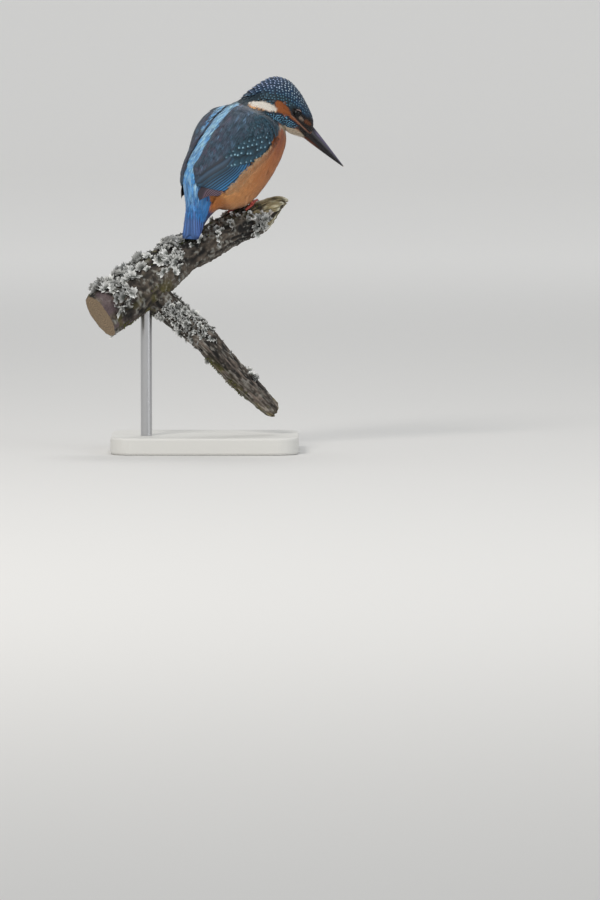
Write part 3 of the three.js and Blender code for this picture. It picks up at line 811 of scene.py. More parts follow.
def dress_crown():
    """The spotted feathers of the crown and nape, and the barred ones of the malar patch."""
    coat = Coat("coat_crown", VANE)
    # for crown and malar patch: whether it is the patch, row and side step, length and width, and the
    # half width and the start of the spot
    zones = [(False, 1.8, 1.95, 4.3, 2.5, 0.36, 0.76), (True, 1.9, 1.75, 3.8, 2.2, 0.46, 0.74)]
    for malar, row_step, side_step, length, width, half, low in zones:
        root = rows_on_body(9.3, LAST - 0.05, row_step, side_step, lambda s, a: ~near_eye(s, a, 3.0), 0.1)
        size = mix(1.0, 0.8, ramp(root[:, 0], 13.0, 15.5))
        tip = onward(on_body, root, length * (size + 0.4 * ramp(root[:, 0], 11.2, 9.6)))
        colour, spot, spot_colour = markings(*part_way(root, tip, 0.7))
        in_patch = within(*head_plane(*part_way(root, tip, 0.7)), MALAR_PATCH)
        keep = (spot > 0.3) & (in_patch > -0.2 if malar else in_patch < 0.2)
        spot = spot[keep] * RNG.uniform(0.7, 1.0, keep.sum())
        coat.add(on_body, CROWN_VANE, root[keep], tip[keep], width * size[keep], lying(-0.5, 0.85),
                 spotted_paint(colour[keep], spot, spot_colour[keep], low, 0.94, half, 0.16))
    coat.build("crown_plumage")


def soft_feathers(coat, start, end, row_step, side_step, length, width, template, rise, face):
    """The tufts of one part of the soft coat. On the face they are smaller and take the markings."""
    root = rows_on_body(start, end, row_step, side_step,
                        lambda s, a: ~(under_wing(s, a, 9) | near_eye(s, a, 2.9)), 0.25)
    size = face_size(*root.T) if face else np.ones(len(root))
    reach = length * size * RNG.uniform(0.85, 1.15, len(root))
    tip = onward(on_body, root, reach, RNG.normal(0, 0.14, len(root)))
    colour, spot, _ = markings(*part_way(root, tip, 0.65))
    keep = (spot < 0.4) & ((np.abs(root[:, 1]) > 1.62) | (root[:, 0] > 9.6))
    coat.add(on_body, template, root[keep], tip[keep], width * size[keep], rise,
             plain_paint(colour[keep], 0.05, 0.08, root_shade=0.1), 0.75 if face else 0.0)


def dress_soft():
    """The soft coat of the cheeks, throat and neck, and that of the breast and belly."""
    face, breast = Coat("coat_face", SOFT), Coat("coat_breast", SOFT)
    soft_feathers(face, 9.4, LAST - 0.02, 0.8, 0.85, 2.9, 1.3, SMALL_TUFT, lying(-0.6, 0.15, 0.08), True)
    face.build("body_plumage")
    soft_feathers(breast, 2.6, 10.2, 1.7, 1.65, 7.2, 3.1, TUFT, lying(-0.8, 0.3, 0.08), False)
    for side in SIDES.values():
        dress_fringe(breast, side)
    breast.build("body_plumage")


def dress_fringe(coat, side):
    """The loose pale feathers of a flank that lie over the wing's lower edge."""
    count = FRINGE_FEATHERS
    station = RNG.uniform(4.3, 8.0, count)
    angle = np.radians(wing_limits(station)[1] + RNG.uniform(2.5, 10.5, count))
    root = np.stack([station, side * angle], -1)
    lean = -side * RNG.uniform(0.1, 0.65, count)
    tip = onward(on_body, root, RNG.uniform(3.5, 6.5, count) * ramp(station, 9.0, 6.5), lean)
    pale = RNG.uniform(0.1, 1.0, count) * ramp(station, 7.9, 6.2)
    colour = mix(markings(station, np.full(count, 2.1))[0], FRINGE, pale[:, None])
    coat.add(on_wing, HAIRS, root, tip, 1.9, lying(0.1, 1.5, 0.1), plain_paint(colour, 0.1, 0.1))
    # and the thicker pale ones among them, that reach farther over the wing
    count = FRINGE_STRANDS
    station = RNG.uniform(4.6, 7.4, count)
    angle = np.radians(wing_limits(station)[1] + RNG.uniform(0.5, 5.5, count))
    root = np.stack([station, side * angle], -1)
    tip = onward(on_body, root, RNG.uniform(3.0, 6.5, count), -side * RNG.uniform(0.3, 1.0, count))
    colour = mix(FRINGE, FRINGE_PALE, 0.7 * RNG.random((count, 1)))
    coat.add(on_wing, LONG_HAIRS, root, tip, 1.5, lying(0.3, 1.6, 0.05), plain_paint(colour, 0.08, 0.1))


def dress_back():
    """The slate mantle, and the azure stripe of long silky feathers down the back."""
    coat = Coat("coat_back", SOFT)
    root = rows_on_body(4.2, 10.1, 2.2, 2.2, lambda s, a: ~under_wing(s, a, 14) & (np.abs(a) < 1.75), 0.25)
    tip = onward(on_body, root, RNG.uniform(7, 9, len(root)), RNG.normal(0, 0.12, len(root)))
    colour, spot, _ = markings(*part_way(root, tip, 0.6))
    keep = (from_back(*root.T) > stripe_half(root[:, 0]) - 1.0) & (spot < 0.5)
    coat.add(on_body, WISP, root[keep], tip[keep], 3.6, lying(-0.7, 0.7, 0.15),
             plain_paint(colour[keep], 0.16, 0.2, streaks=0.25))
    # the stripe, from the nape to the tail, with a ragged edge
    root = rows_on_body(1.9, 9.9, 2.0, 1.2, lambda s, a: np.abs(a) < 1.6, 0.3)
    edge = stripe_half(root[:, 0]) + ramp(root[:, 0], 4.4, 2.5) * 12 + RNG.normal(0, 0.7, len(root)) - 0.6
    root = root[from_back(*root.T) < edge]
    station, angle = root.T
    count = len(root)
    colour = markings(station, np.clip(angle, -0.09, 0.09))[0]
    # a painted highlight on strands at random, more of them up the back and none at the tail
    painted_highlight = RNG.random(count) ** mix(1.5, 0.7, ramp(station, 4.4, 6.4)) * ramp(station, 1.8, 4.0)
    colour = mix(colour, STRIPE_HIGHLIGHT, (0.9 * painted_highlight)[:, None])
    # deeper blue strands at random, and painted shade on most strands beside the rump, under the wing tips
    aside = ramp(np.abs(angle), 0.35, 1.0) * ramp(station, 4.6, 3.6)
    deep = RNG.random(count) < mix(0.16, 0.4, ramp(station, 4.6, 3.0)) + 0.6 * aside
    colour = np.where(deep[:, None], mix(colour, STRIPE_DEEP_AND_SHADE, 0.65), colour)
    tip = onward(on_body, root, RNG.uniform(8, 12, count), RNG.normal(0, 0.08, count))
    coat.add(on_body, WISP, root, tip, 2.2, lying(-0.5, 0.9, 0.1),
             plain_paint(colour, 0.12, 0.3, streaks=0.15))
    # a few bright strands that stray from it over the mantle, each with some painted highlight
    count = STRAY_STRANDS
    for side in SIDES.values():
        station = RNG.uniform(7.3, 9.4, count)
        half = spline(STATIONS, station)[:, 4]
        angle = side * (stripe_half(station) + RNG.uniform(0.0, 2.6, count)) / half
        root = np.stack([station, angle], -1)
        tip = onward(on_body, root, RNG.uniform(4, 7, count), RNG.normal(0, 0.1, count))
        colour = mix(repeat(STRIPE, count), STRIPE_HIGHLIGHT, RNG.random((count, 1)))
        coat.add(on_wing, HAIRS, root, tip, 1.8, lying(0.4, 1.2, 0.1), plain_paint(colour, 0.1, 0.1))
    coat.build("body_plumage")


# ------------------------------------------------------------------------------ wings
WING_EDGE = 1.1  # how far the wing's rim stands off the body
WING_HUMP = (0.2, 4.6)  # and how much more its middle does, at the rear and at the shoulder
FLARE = 2.4  # how far the tips of the primaries lift off the body
BED_OUTSIDE = -1.05  # where the wing's dark body ends under its outside
BED_INSIDE = -0.3  # and in the trunk


def on_wing(station, angle, proud=0.0):
    """Points on the outside of the folded wing, or on the body where the wing doesn't reach."""
    station = np.asarray(station, float)
    upper, lower = wing_limits(station)
    across = (np.degrees(np.abs(angle)) - upper) / (lower - upper)
    hump = mix(*WING_HUMP, ramp(station, 5.6, 7.8)) * np.sin(np.pi * np.clip(across, 0, 1)) ** 0.8
    rim = ramp(across, -0.14, 0.02) * ramp(across, 1.14, 0.98) * ramp(station, 9.5, 8.8)
    return on_body(station, angle, (WING_EDGE + hump * ramp(station, 9.3, 8.6)) * rim + proud)


def on_primaries(station, angle, proud=0.0):
    """The same, with the lift of the wing's tip."""
    lift = FLARE * ramp(np.asarray(station, float), 3.9, 2.3)
    return on_wing(station, angle, proud + lift)


def wing_places(*pairs):
    """Places on the wing from stations and degrees."""
    return np.array(pairs, float) * [1, math.pi / 180]


def along_curve(points, count):
    """Evenly counted places on a smooth curve through a few places."""
    return spline(points, np.linspace(0, len(points) - 1, count))


def dress_wing_bed(name, side):
    """The dark body of the folded wing, under its feathers."""
    rows, columns = 60, 34
    u, v = np.meshgrid(np.linspace(0, 1, rows), np.linspace(0, 1, columns), indexing="ij")
    front = 8.8 - 0.7 * np.abs(2 * v - 0.9) ** 2.4
    station = mix(front, mix(3.6, 4.1, v), u)
    upper, lower = wing_limits(station)
    angle = side * np.radians(mix(upper + 2, lower - 2, v))
    outer = on_wing(station, angle, BED_OUTSIDE)
    inner = on_body(station, angle, BED_INSIDE)
    points = np.concatenate([outer, inner[:, ::-1]], 1).reshape(-1, 3)
    n = 2 * columns
    j = np.arange(columns - 1)
    cap = np.stack([j, n - 1 - j, n - 2 - j, j + 1], -1)
    faces = np.vstack([grid_faces(rows, n, closed=True), cap, cap[:, ::-1] + (rows - 1) * n])
    bed = new_mesh(f"wing_bed_{name}", to_stand(points), SKIN, faces[:, ::side])
    add_colour(bed, repeat(SECONDARY_DARK * 0.8, len(points)))
    declare(bed, "wing_plumage", f"wing_{name}", f"primaries_{name}")


EDGES = (-1, -0.94, -0.86, -0.76, -0.6, -0.35, 0, 0.35, 0.6, 0.76, 0.86, 0.94, 1)
FLIGHT_VANE = vane_template(30, EDGES, tip=0.16, root=0.2, blunt=2.4)
COVERT_VANE = vane_template(15, np.linspace(-1, 1, 13))


def flight_paint(blue, dark, side, web_from, rim):
    """A flight feather: dark, with a coloured outer web from web_from on, a rim of another tone, and painted
    shade along its outer edge.
    """

    def paint(along, across, rib):
        out = rib * side
        web = ramp(out, web_from - 0.06, web_from + 0.06)
        shade = mix(dark, blue, web[..., None])
        shade = mix(shade, rim, (ramp(out, 0.56, 0.64) * ramp(out, 0.8, 0.74))[..., None])
        # a dark line along the outer edge: painted shade of the gap under it
        shade = mix(shade, dark * 0.5, ramp(out, 0.76, 0.82)[..., None])
        shaft = np.exp(-((out / 0.07) ** 2)) * web
        shade = mix(shade, dark * 0.6, (0.8 * shaft)[..., None])
        return shade * (1 - 0.3 * ramp(along, 0.95, 1.0))[..., None]

    return paint


def lay_flight(coat, surface, root, tip, width, level, side, paint, out=1):
    """One flight feather between two places, given as station and degrees, with its outer edge up."""
    root, tip = wing_places(root) * [1, side], wing_places(tip) * [1, side]
    rise = lying(level - 0.35, level, 0.12, 0.34 * side * out)
    coat.add(surface, FLIGHT_VANE, root, tip, width, rise, paint)


def dress_flight(name, side):
    """The primaries, secondaries and tertials of a folded wing."""
    coat = Coat(f"wing_flight_{name}", VANE)
    # primaries: their tips show behind the secondaries
    tips = along_curve([(2.28, 47), (2.42, 54), (2.62, 62), (2.9, 70), (3.3, 78)], 7)
    for j in reversed(range(7)):
        k = j / 6
        root = (mix(4.9, 5.0, k), mix(64, 88, k))
        rim = PRIMARY_EDGE * (0.6 if j == 0 else RNG.uniform(0.85, 1.1))
        lay_flight(coat, on_primaries, root, tips[j], 6.4, -0.45 - 0.05 * j, side,
                   flight_paint(PRIMARY, PRIMARY * 0.75, side, 0.1, rim))
    # secondaries: the innermost lies on top
    tips = along_curve([(3.3, 38), (3.36, 52), (3.55, 63), (3.8, 74), (4.2, 85)], 8)
    for j in reversed(range(8)):
        k = j / 7
        root = (mix(6.0, 6.3, k), mix(70, 90, k))
        blue = mix(SECONDARY, SECONDARY_BRIGHT, k) * RNG.uniform(0.92, 1.06)
        rim = mix(blue * 1.4, STRIPE, 0.8 * ramp(k, 0.25, 0.85))
        lay_flight(coat, on_wing, root, tips[j], mix(7.4, 6.2, k), 0.08 - 0.06 * j, side,
                   flight_paint(blue, SECONDARY_DARK, side, 0.15, rim))
    # tertials: three broad ones over them, by root, tip, width and how slate they are
    tertials = [((6.0, 66), (3.2, 29), 8.5, 0.0), ((6.1, 60), (3.5, 22), 9.5, 0.5),
                ((6.3, 48), (4.1, 16), 10.5, 1.0)]
    for j, (root, tip, width, slate) in enumerate(tertials):
        blue = mix(TERTIAL, MANTLE, slate)
        lay_flight(coat, on_wing, root, tip, width, 0.3 + 0.16 * j, side,
                   flight_paint(blue, blue * 0.7, side, -0.3, SECONDARY_DARK))
    coat.build("primary_plumage")


# The rows of coverts from the rear to the front: how many, their length and width, how spotted they
# are, and the places of their tips.
COVERT_ROWS = [
    (14, 12.0, 6.4, 1.0, (4.7, 38), (5.05, 47), (5.3, 56), (5.5, 65), (5.8, 73.5), (6.15, 84), (6.5, 90),
     (6.8, 94)),
    (13, 9.5, 5.6, 1.0, (5.4, 44), (5.85, 54), (6.1, 63), (6.35, 71), (6.6, 81), (6.95, 88.5), (7.35, 92)),
    (12, 8.5, 5.2, 1.0, (5.9, 46), (6.3, 57), (6.55, 66), (6.8, 74.5), (7.1, 83), (7.5, 88.5), (7.85, 90.5)),
    (12, 7.5, 4.8, 0.5, (6.4, 50), (6.75, 62), (7.05, 72), (7.35, 80), (7.7, 85.5), (8.1, 88)),
    (12, 6.5, 4.4, 0.32, (6.85, 54), (7.2, 64), (7.5, 73), (7.8, 79.5), (8.1, 84), (8.35, 86)),
    (11, 6.0, 4.2, 0.2, (7.3, 58), (7.65, 66), (7.95, 73), (8.2, 79), (8.45, 83)),
    (9, 5.5, 4.2, 0.0, (7.8, 60), (8.1, 67), (8.35, 73), (8.6, 78)),
    (7, 5.5, 4.2, 0.0, (8.2, 60), (8.5, 66), (8.8, 73)),
    (15, 4.6, 3.4, 0.0, (8.25, 68), (8.2, 77), (8.05, 84), (7.8, 90), (7.5, 94)),
    (15, 4.2, 3.2, 0.0, (8.6, 70), (8.5, 78), (8.35, 85), (8.1, 91), (7.8, 96)),
]


def dress_coverts(name, side):
    """The spotted coverts, in rows over the flight feathers from the rear to the front."""
    coat = Coat(f"wing_coverts_{name}", VANE)
    for j, (count, length, width, spotted, *curve) in enumerate(COVERT_ROWS):
        tip = along_curve(wing_places(*curve), count) + RNG.normal(0, 1, (count, 2)) * [0.03, 0.008]
        t = np.linspace(0, 1, count)
        root = onward(on_wing, tip, -length, -0.5 * (1 - 0.6 * t) - RNG.normal(0, 0.05, count))
        green = 0.6 * (1 - t) + 0.25 * RNG.random(count)
        colour = mix(repeat(COVERT, count), MANTLE_GREEN, green[:, None])
        spot = spotted * ramp(t, 0.05, 0.35) * RNG.uniform(0.8, 1.0, count)
        level = 0.25 + 0.1 * j
        coat.add(on_wing, COVERT_VANE, root * [1, side], tip * [1, side], width,
                 lying(level - 0.7, level, 0.45), covert_paint(colour, spot, COVERT_SPOT, length, width))
    coat.build("wing_plumage")


def dress_scapulars(name, side):
    """Long soft slate feathers, over the inner half of the wing."""
    coat = Coat(f"scapulars_{name}", SOFT)
    root = rows_on_body(5.0, 9.6, 1.7, 1.8, lambda s, a: (side * a > 0.1) & (np.abs(a) < 1.6), 0.25)
    s, degrees = root[:, 0], np.degrees(np.abs(root[:, 1]))
    low = np.interp(s, [5.0, 5.6, 6.4, 7.2, 8.0, 8.8, 9.6], [24, 36, 48, 57, 66, 84, 92])
    high = np.interp(s, [5.0, 6.0, 7.5, 9.6], [15, 13, 9, 8])
    keep = (degrees < low) & (degrees > high)
    root, degrees = root[keep], degrees[keep]
    count = len(root)
    green = 0.75 * RNG.random(count) + 0.25 * ramp(degrees, 35, 65)
    colour = mix(repeat(MANTLE, count), MANTLE_GREEN, green[:, None])
    dusky = RNG.random(count) < 0.5 * ramp(degrees, 40, 15)
    colour = np.where(dusky[:, None], mix(colour, MANTLE_DUSKY, 0.55), colour)
    glints = RNG.random(count) < 0.12
    colour = np.where(glints[:, None], mix(colour, MANTLE_GLINT, 0.4), colour)
    lean = 0.12 * side + RNG.normal(0, 0.07, count)
    tip = onward(on_wing, root, RNG.uniform(9, 13, count), lean)
    coat.add(on_wing, WISP, root, tip, 4.6, lying(-0.4, 0.95, 0.2),
             plain_paint(colour, 0.16, 0.15, streaks=0.3))
    coat.build("wing_plumage")


def covert_paint(base, spot, spot_colour, length, width):
    """A covert: teal with a darker middle and rim, a painted sheen between them, and a small pale spot at its
    tip.
    """
    tone = 1 + RNG.normal(0, 0.08, (len(base), 1, 1))

    def paint(along, across, rib):
        away = np.hypot((along - 1) * length + 0.95, across * width / 2)
        inside = ramp(away, 0.74, 0.42) * spot[:, None]
        shade = base[:, None, :] * tone * (0.5 + 0.5 * ramp(along, 0.35, 0.85))[..., None]
        shade = shade * (1 - 0.45 * ramp(np.abs(rib), 0.7, 0.98) - 0.25 * ramp(along, 0.93, 1.0))[..., None]
        # a painted sheen in a band on each side of the shaft
        sheen = np.exp(-(((np.abs(rib) - 0.4) / 0.25) ** 2)) * ramp(along, 0.5, 0.9)
        shade = mix(shade, shade * 1.5, (0.5 * sheen)[..., None])
        return mix(shade, spot_colour, inside[..., None])

    return paint


# ------------------------------------------------------------------------------ tail
def dress_tail():
    """Six feathers to a side, seen from above, and six seen from below."""
    coat = Coat("tail_feathers", VANE)
    for side in SIDES.values():
        for j in range(6):
            t = j / 5
            colour = mix(TAIL, TAIL_DARK, 0.9 * t) * RNG.uniform(0.92, 1.06)
            above = mix(13, 76, t)
            lay_flight(coat, on_body, (2.9, 0.8 * above), (-0.02 + 0.05 * t, above), 6.0, 0.5 - 0.1 * j, side,
                       flight_paint(colour, colour * 0.6, side, -0.5, colour * 1.4))
            below = mix(167, 106, t)
            lay_flight(coat, on_body, (2.2, below), (0.0, below), 6.0, 0.1 - 0.04 * j, side,
                       flight_paint(TAIL_DARK * 0.7, TAIL_DARK * 0.4, -side, -0.5, TAIL_DARK * 0.9), -1)
    coat.build("tail_plumage")


# ------------------------------------------------------------------------------ bill and eyes
BILL_ROOT = np.array([74.5, 0.0, 81.2])
BILL_PITCH = math.radians(-43)
BILL_LENGTH = 46.0
BILL_BURIED = 6.0  # how much of that is inside the head
BILL_WIDTH = 4.6
BILL_BLUNT = 0.3
BILL_SEAM = 0.04  # between the halves
BILL_TIP = srgb("#cfc4b2")
# Each half: its side, depth at the root, taper, share of the width, slot, colour, and the colour of its
# markings: lavender for a painted highlight on the upper half, red for the base of the lower.
BILL_HALVES = {
    "upper": (1, 6.3, 1.05, 1.0, "bill_horn", srgb("#141216"), srgb("#8a82a3")),
    "lower": (-1, 4.6, 0.9, 0.95, "bill_mandible", srgb("#151316"), srgb("#6e3a20")),
}


def bill_point(along, up, out):
    """Points along the bill from its root, up from its seam and out to the right."""
    forward = np.array([math.cos(BILL_PITCH), 0, math.sin(BILL_PITCH)])
    over = np.array([-math.sin(BILL_PITCH), 0, math.cos(BILL_PITCH)])
    side = np.array([0, -1.0, 0])
    return BILL_ROOT + along[..., None] * forward + up[..., None] * over + out[..., None] * side


def dress_bill(name, made):
    """One half of the bill: an arched outside, and a flat face towards the other half."""
    side, deep, taper, wide, slot, horn, highlight_and_red_base = BILL_HALVES[name]
    rows, columns = 60, 28
    share, turn = np.meshgrid(np.linspace(0, 1, rows), np.linspace(0, 1, columns), indexing="ij")
    along = mix(BILL_BURIED, BILL_LENGTH, share)
    left = 1 - share**1.15
    arch = np.sin(np.pi * turn)
    out = (BILL_WIDTH * left**0.95 + BILL_BLUNT) * wide * np.cos(np.pi * turn)
    flat = bill_point(along, side * BILL_SEAM / 2 + 0 * along, -out)[:, 1:-1]
    up = side * (BILL_SEAM / 2 + (deep * left**taper + BILL_BLUNT) * power(arch, 1.15))
    if name == "upper":
        # a slit of a nostril on each side, and a painted highlight along each side
        beside = np.abs(turn - 0.5)
        slit = np.exp(-(((along - 17.5) / 2.6) ** 2) - (((beside - 0.2) / 0.05) ** 2))
        up = up - 0.5 * slit
        out = out * (1 - 0.1 * slit)
        amount = 0.42 * np.exp(-(((beside - 0.15) / 0.11) ** 2)) * ramp(share, 0.12, 0.3)
    else:
        amount = 0.7 * ramp(arch, 0.45, 0.9) * ramp(share, 0.55, 0.3)
    ring = on_head(np.concatenate([bill_point(along, up, out), flat], 1))
    n = ring.shape[1]
    j = np.arange(1, columns - 2)
    cap = np.stack([j, j + 1, n - j, n - j - 1], -1)
    faces = np.vstack([grid_faces(rows, n, closed=True)[:, ::side], cap, cap + (rows - 1) * n])
    obj = new_mesh(f"bill_{name}_shell", to_stand(ring.reshape(-1, 3)), made, faces)
    colour = repeat(horn, rows, n)
    colour[:, :columns] = mix(horn, highlight_and_red_base, amount[..., None])
    colour = mix(colour, BILL_TIP, 0.8 * ramp(share[:, :1, None], 0.975, 0.995))
    add_colour(obj, colour.reshape(-1, 3))
    declare(obj, slot, f"bill_{name}")


def lid_material():
    made = material("lid")
    nodes = Nodes(made)
    nodes.colour(nodes.markings())
    nodes.bump(nodes.noise(2500.0), 0.3, 0.0001)
    return made


def dress_eye(name, side, eye_made, lid_made):
    bpy.ops.mesh.primitive_uv_sphere_add(segments=48, ring_count=32, radius=EYE_RADIUS * MM,
                                         location=Vector(to_stand(on_head(eye_place(side)))))
    ball = bpy.context.object
    ball.name = f"eyeball_{name}"
    ball.data.materials.append(eye_made)
    for face in ball.data.polygons:
        face.use_smooth = True
    declare(ball, "eye", f"eye_{name}")
    # the lids: a ring round the ball, almond-shaped, thicker above, with a painted highlight on the upper lid
    outwards = unit(np.array([0.16, -side, 0.05]))
    back = unit(np.cross(outwards, [0.0, 0.0, side]))
    up = -side * np.cross(outwards, back)
    rows, columns = 64, 14
    turn, around = np.meshgrid(*(np.linspace(0, 2 * np.pi, n, endpoint=False) for n in (rows, columns)),
                               indexing="ij")
    radius = LID_RADIUS + 0.12 * np.cos(2 * turn) + 0.35 * np.abs(np.cos(turn)) ** 6
    height = np.sqrt(np.maximum(EYE_RADIUS**2 - radius**2, 0.3)) + 0.12
    thick = LID_THICKNESS + 0.1 * np.sin(turn)
    ring = radius + thick * 0.8 * np.cos(around) + 0.25
    off = height + thick * np.sin(around) - 0.25
    local = [(ring * np.cos(turn), back), (ring * np.sin(turn) * 0.94, up), (off, outwards)]
    points = on_head(eye_place(side) + sum(far[..., None] * way for far, way in local))
    obj = new_mesh(f"lids_{name}", to_stand(points).reshape(-1, 3), lid_made,
                   grid_faces(rows, columns, closed=True, looped=True))
    # a painted highlight on the upper lid
    lid_highlight = ramp(np.sin(turn - 0.5), 0.6, 0.98) * ramp(np.sin(around), -0.2, 0.6)
    add_colour(obj, mix(LID, LID_HIGHLIGHT, (0.8 * lid_highlight)[..., None]).reshape(-1, 3))
    declare(obj, "eye")


# ------------------------------------------------------------------------------ perch
PERCH = {name: srgb(code) for name, code in {
    "crack": "#0f0c0a", "ridge": "#5f554b", "crust": "#9b9b94", "green": "#4c5230", "purple": "#5f5054",
    "below": "#6b6428", "stripe": "#85786f", "fleck": "#c2bcb2", "groove": "#1f1810", "wood": "#968a68",
    "stain": "#64583a", "pale wood": "#d8d2b8", "rim": "#e6e2cc", "sawn": "#6f5d48", "ring": "#9c8669",
    "lichen root": "#4b4f48", "lichen": "#f4f4f1", "moss root": "#2c331a", "moss": "#86873a",
}.items()}

# The branch and its side twig, as places on the stand with their radii, in millimetres.
BRANCH = [
    (60.0, 32.5, 172.4, 6.0),
    (55.0, 30.2, 170.6, 8.6),
    (47.0, 26.5, 167.4, 10.2),
    (34.0, 20.5, 162.0, 11.1),
    (17.0, 12.6, 154.8, 11.5),
    (0.0, 4.6, 145.0, 11.4),
    (-14.0, -1.9, 138.3, 12.0),
    (-28.0, -8.4, 129.4, 14.3),
    (-46.0, -16.8, 115.0, 15.8),
    (-60.0, -23.3, 105.5, 16.0),
    (-73.0, -29.4, 97.0, 16.4),
]
TWIG = [
    (-42.0, -14.0, 116.5, 11.0),
    (-34.0, -12.9, 108.0, 10.8),
    (-24.6, -12.0, 100.2, 10.0),
    (-12.0, -10.5, 89.7, 9.2),
    (0.0, -9.0, 79.4, 8.7),
    (12.0, -7.5, 65.6, 8.2),
    (25.2, -6.0, 51.4, 7.8),
    (38.8, -4.5, 38.5, 7.0),
    (47.2, -3.4, 30.0, 6.0),
    (51.2, -3.0, 26.2, 3.6),
]
# The plane of the branch's break: the wood lies on the side that its normal points to.
BROKEN_NORMAL = np.array([-0.885, 0, 0.466])
BROKEN_OFFSET = 32.0
SPLINTER = 2.4  # how uneven the break's edge is


def uneven(x, y, seed, period=64):
    """A smooth random value from -1 to 1 over a plane, which repeats along y after a period."""
    grid = np.random.default_rng(seed).uniform(-1, 1, (128, period))
    i, j = np.floor(x).astype(int), np.floor(y).astype(int)
    fx, fy = x - i, y - j
    fx, fy = fx * fx * (3 - 2 * fx), fy * fy * (3 - 2 * fy)

    def at(a, b):
        return grid[a % 128, b % period]

    return mix(mix(at(i, j), at(i + 1, j), fx), mix(at(i, j + 1), at(i + 1, j + 1), fx), fy)


class Limb:
    """A limb of the perch. A place on it is a distance along it and an angle round it."""

    def __init__(self, places, seed, relief, stretch, bare_from, bare_to):
        self.seed, self.relief, self.stretch = seed, relief, stretch
        self.bare_from, self.bare_to = bare_from, bare_to
        self.fine = spline(np.array(places), np.linspace(0, len(places) - 1, 400))
        self.travel = travel(self.fine[:, :3])
        self.length = self.travel[-1]

    def middle(self, s):
        """The limb's middle line and its radius."""
        return np.stack([np.interp(s, self.travel, values) for values in self.fine.T], -1)

    def normal(self, s, angle):
        along = unit((self.middle(s + 1.5) - self.middle(s - 1.5))[..., :3])
        side = unit(np.cross([0.0, 1.0, 0.0], along))
        return np.cos(angle)[..., None] * side + np.sin(angle)[..., None] * np.cross(along, side)

    def field(self, s, angle, length, count, seed, ahead=0.0, aside=0.0):
        """A smooth random value, in patches of a length with a count of them round the limb."""
        turn = angle / (2 * np.pi) * count
        return uneven(s / length + ahead, turn + aside, self.seed + seed, count)

    def bark(self, s, angle):
        """The relief of the bark: long ridges with cracks between, from about -1 to 1."""
        s = s / self.stretch
        shift = 0.6 * self.field(s, angle, 6.0, 8, 3)
        ridge = 1 - 2.6 * np.abs(self.field(s, angle, 8.0, 20, 0, shift, shift)) ** 0.7
        return 0.45 * ridge + 0.5 * self.field(s, angle, 14.0, 6, 1) + 0.4 * self.field(s, angle, 2.0, 40, 2)

    def fibre(self, s, angle):
        """The grain of bare wood: broad and narrow grooves along it, from about -1 to 1."""
        sway = 0.8 * self.field(s, angle, 9.0, 5, 6)
        groove = np.exp(-((self.field(s, angle, 20.0, 30, 7, aside=sway) / 0.24) ** 2))
        narrow = np.exp(-((self.field(s, angle, 14.0, 70, 19, aside=sway) / 0.28) ** 2))
        return 0.6 - groove - 0.75 * narrow + 0.45 * self.field(s, angle, 7.0, 64, 8, aside=sway)

    def bare(self, s, angle):
        """Where the bark is gone by the broken end, from 0 to 1."""
        return ramp(s + 7 * self.field(s, angle, 5.0, 9, 5), self.bare_from, self.bare_to)

    def at(self, s, angle, proud=0.0, share=1.0):
        """Points at a share of the radius, or proud of it."""
        row = self.middle(s)
        relief = mix(self.bark(s, angle), 0.9 * self.fibre(s, angle) - 0.3, self.bare(s, angle))
        reach = (row[..., 3] + relief * self.relief) * share + proud
        return row[..., :3] + reach[..., None] * self.normal(s, angle)


BRANCH_LIMB = Limb(BRANCH, seed=21, relief=1.1, stretch=1.0, bare_from=31, bare_to=23)
TWIG_LIMB = Limb(TWIG, seed=51, relief=0.85, stretch=1.3, bare_from=120, bare_to=126)


def past_break(limb, angle, share):
    """How far along the limb the slanting break is, for a ray at an angle and a share of the radius."""
    tries = np.linspace(0, 34, 70)
    s = np.broadcast_to(tries, angle.shape + tries.shape)
    points = limb.at(s, np.broadcast_to(angle[..., None], s.shape), 0.0, share[..., None])
    return tries[np.argmax(points @ BROKEN_NORMAL > BROKEN_OFFSET, -1)]


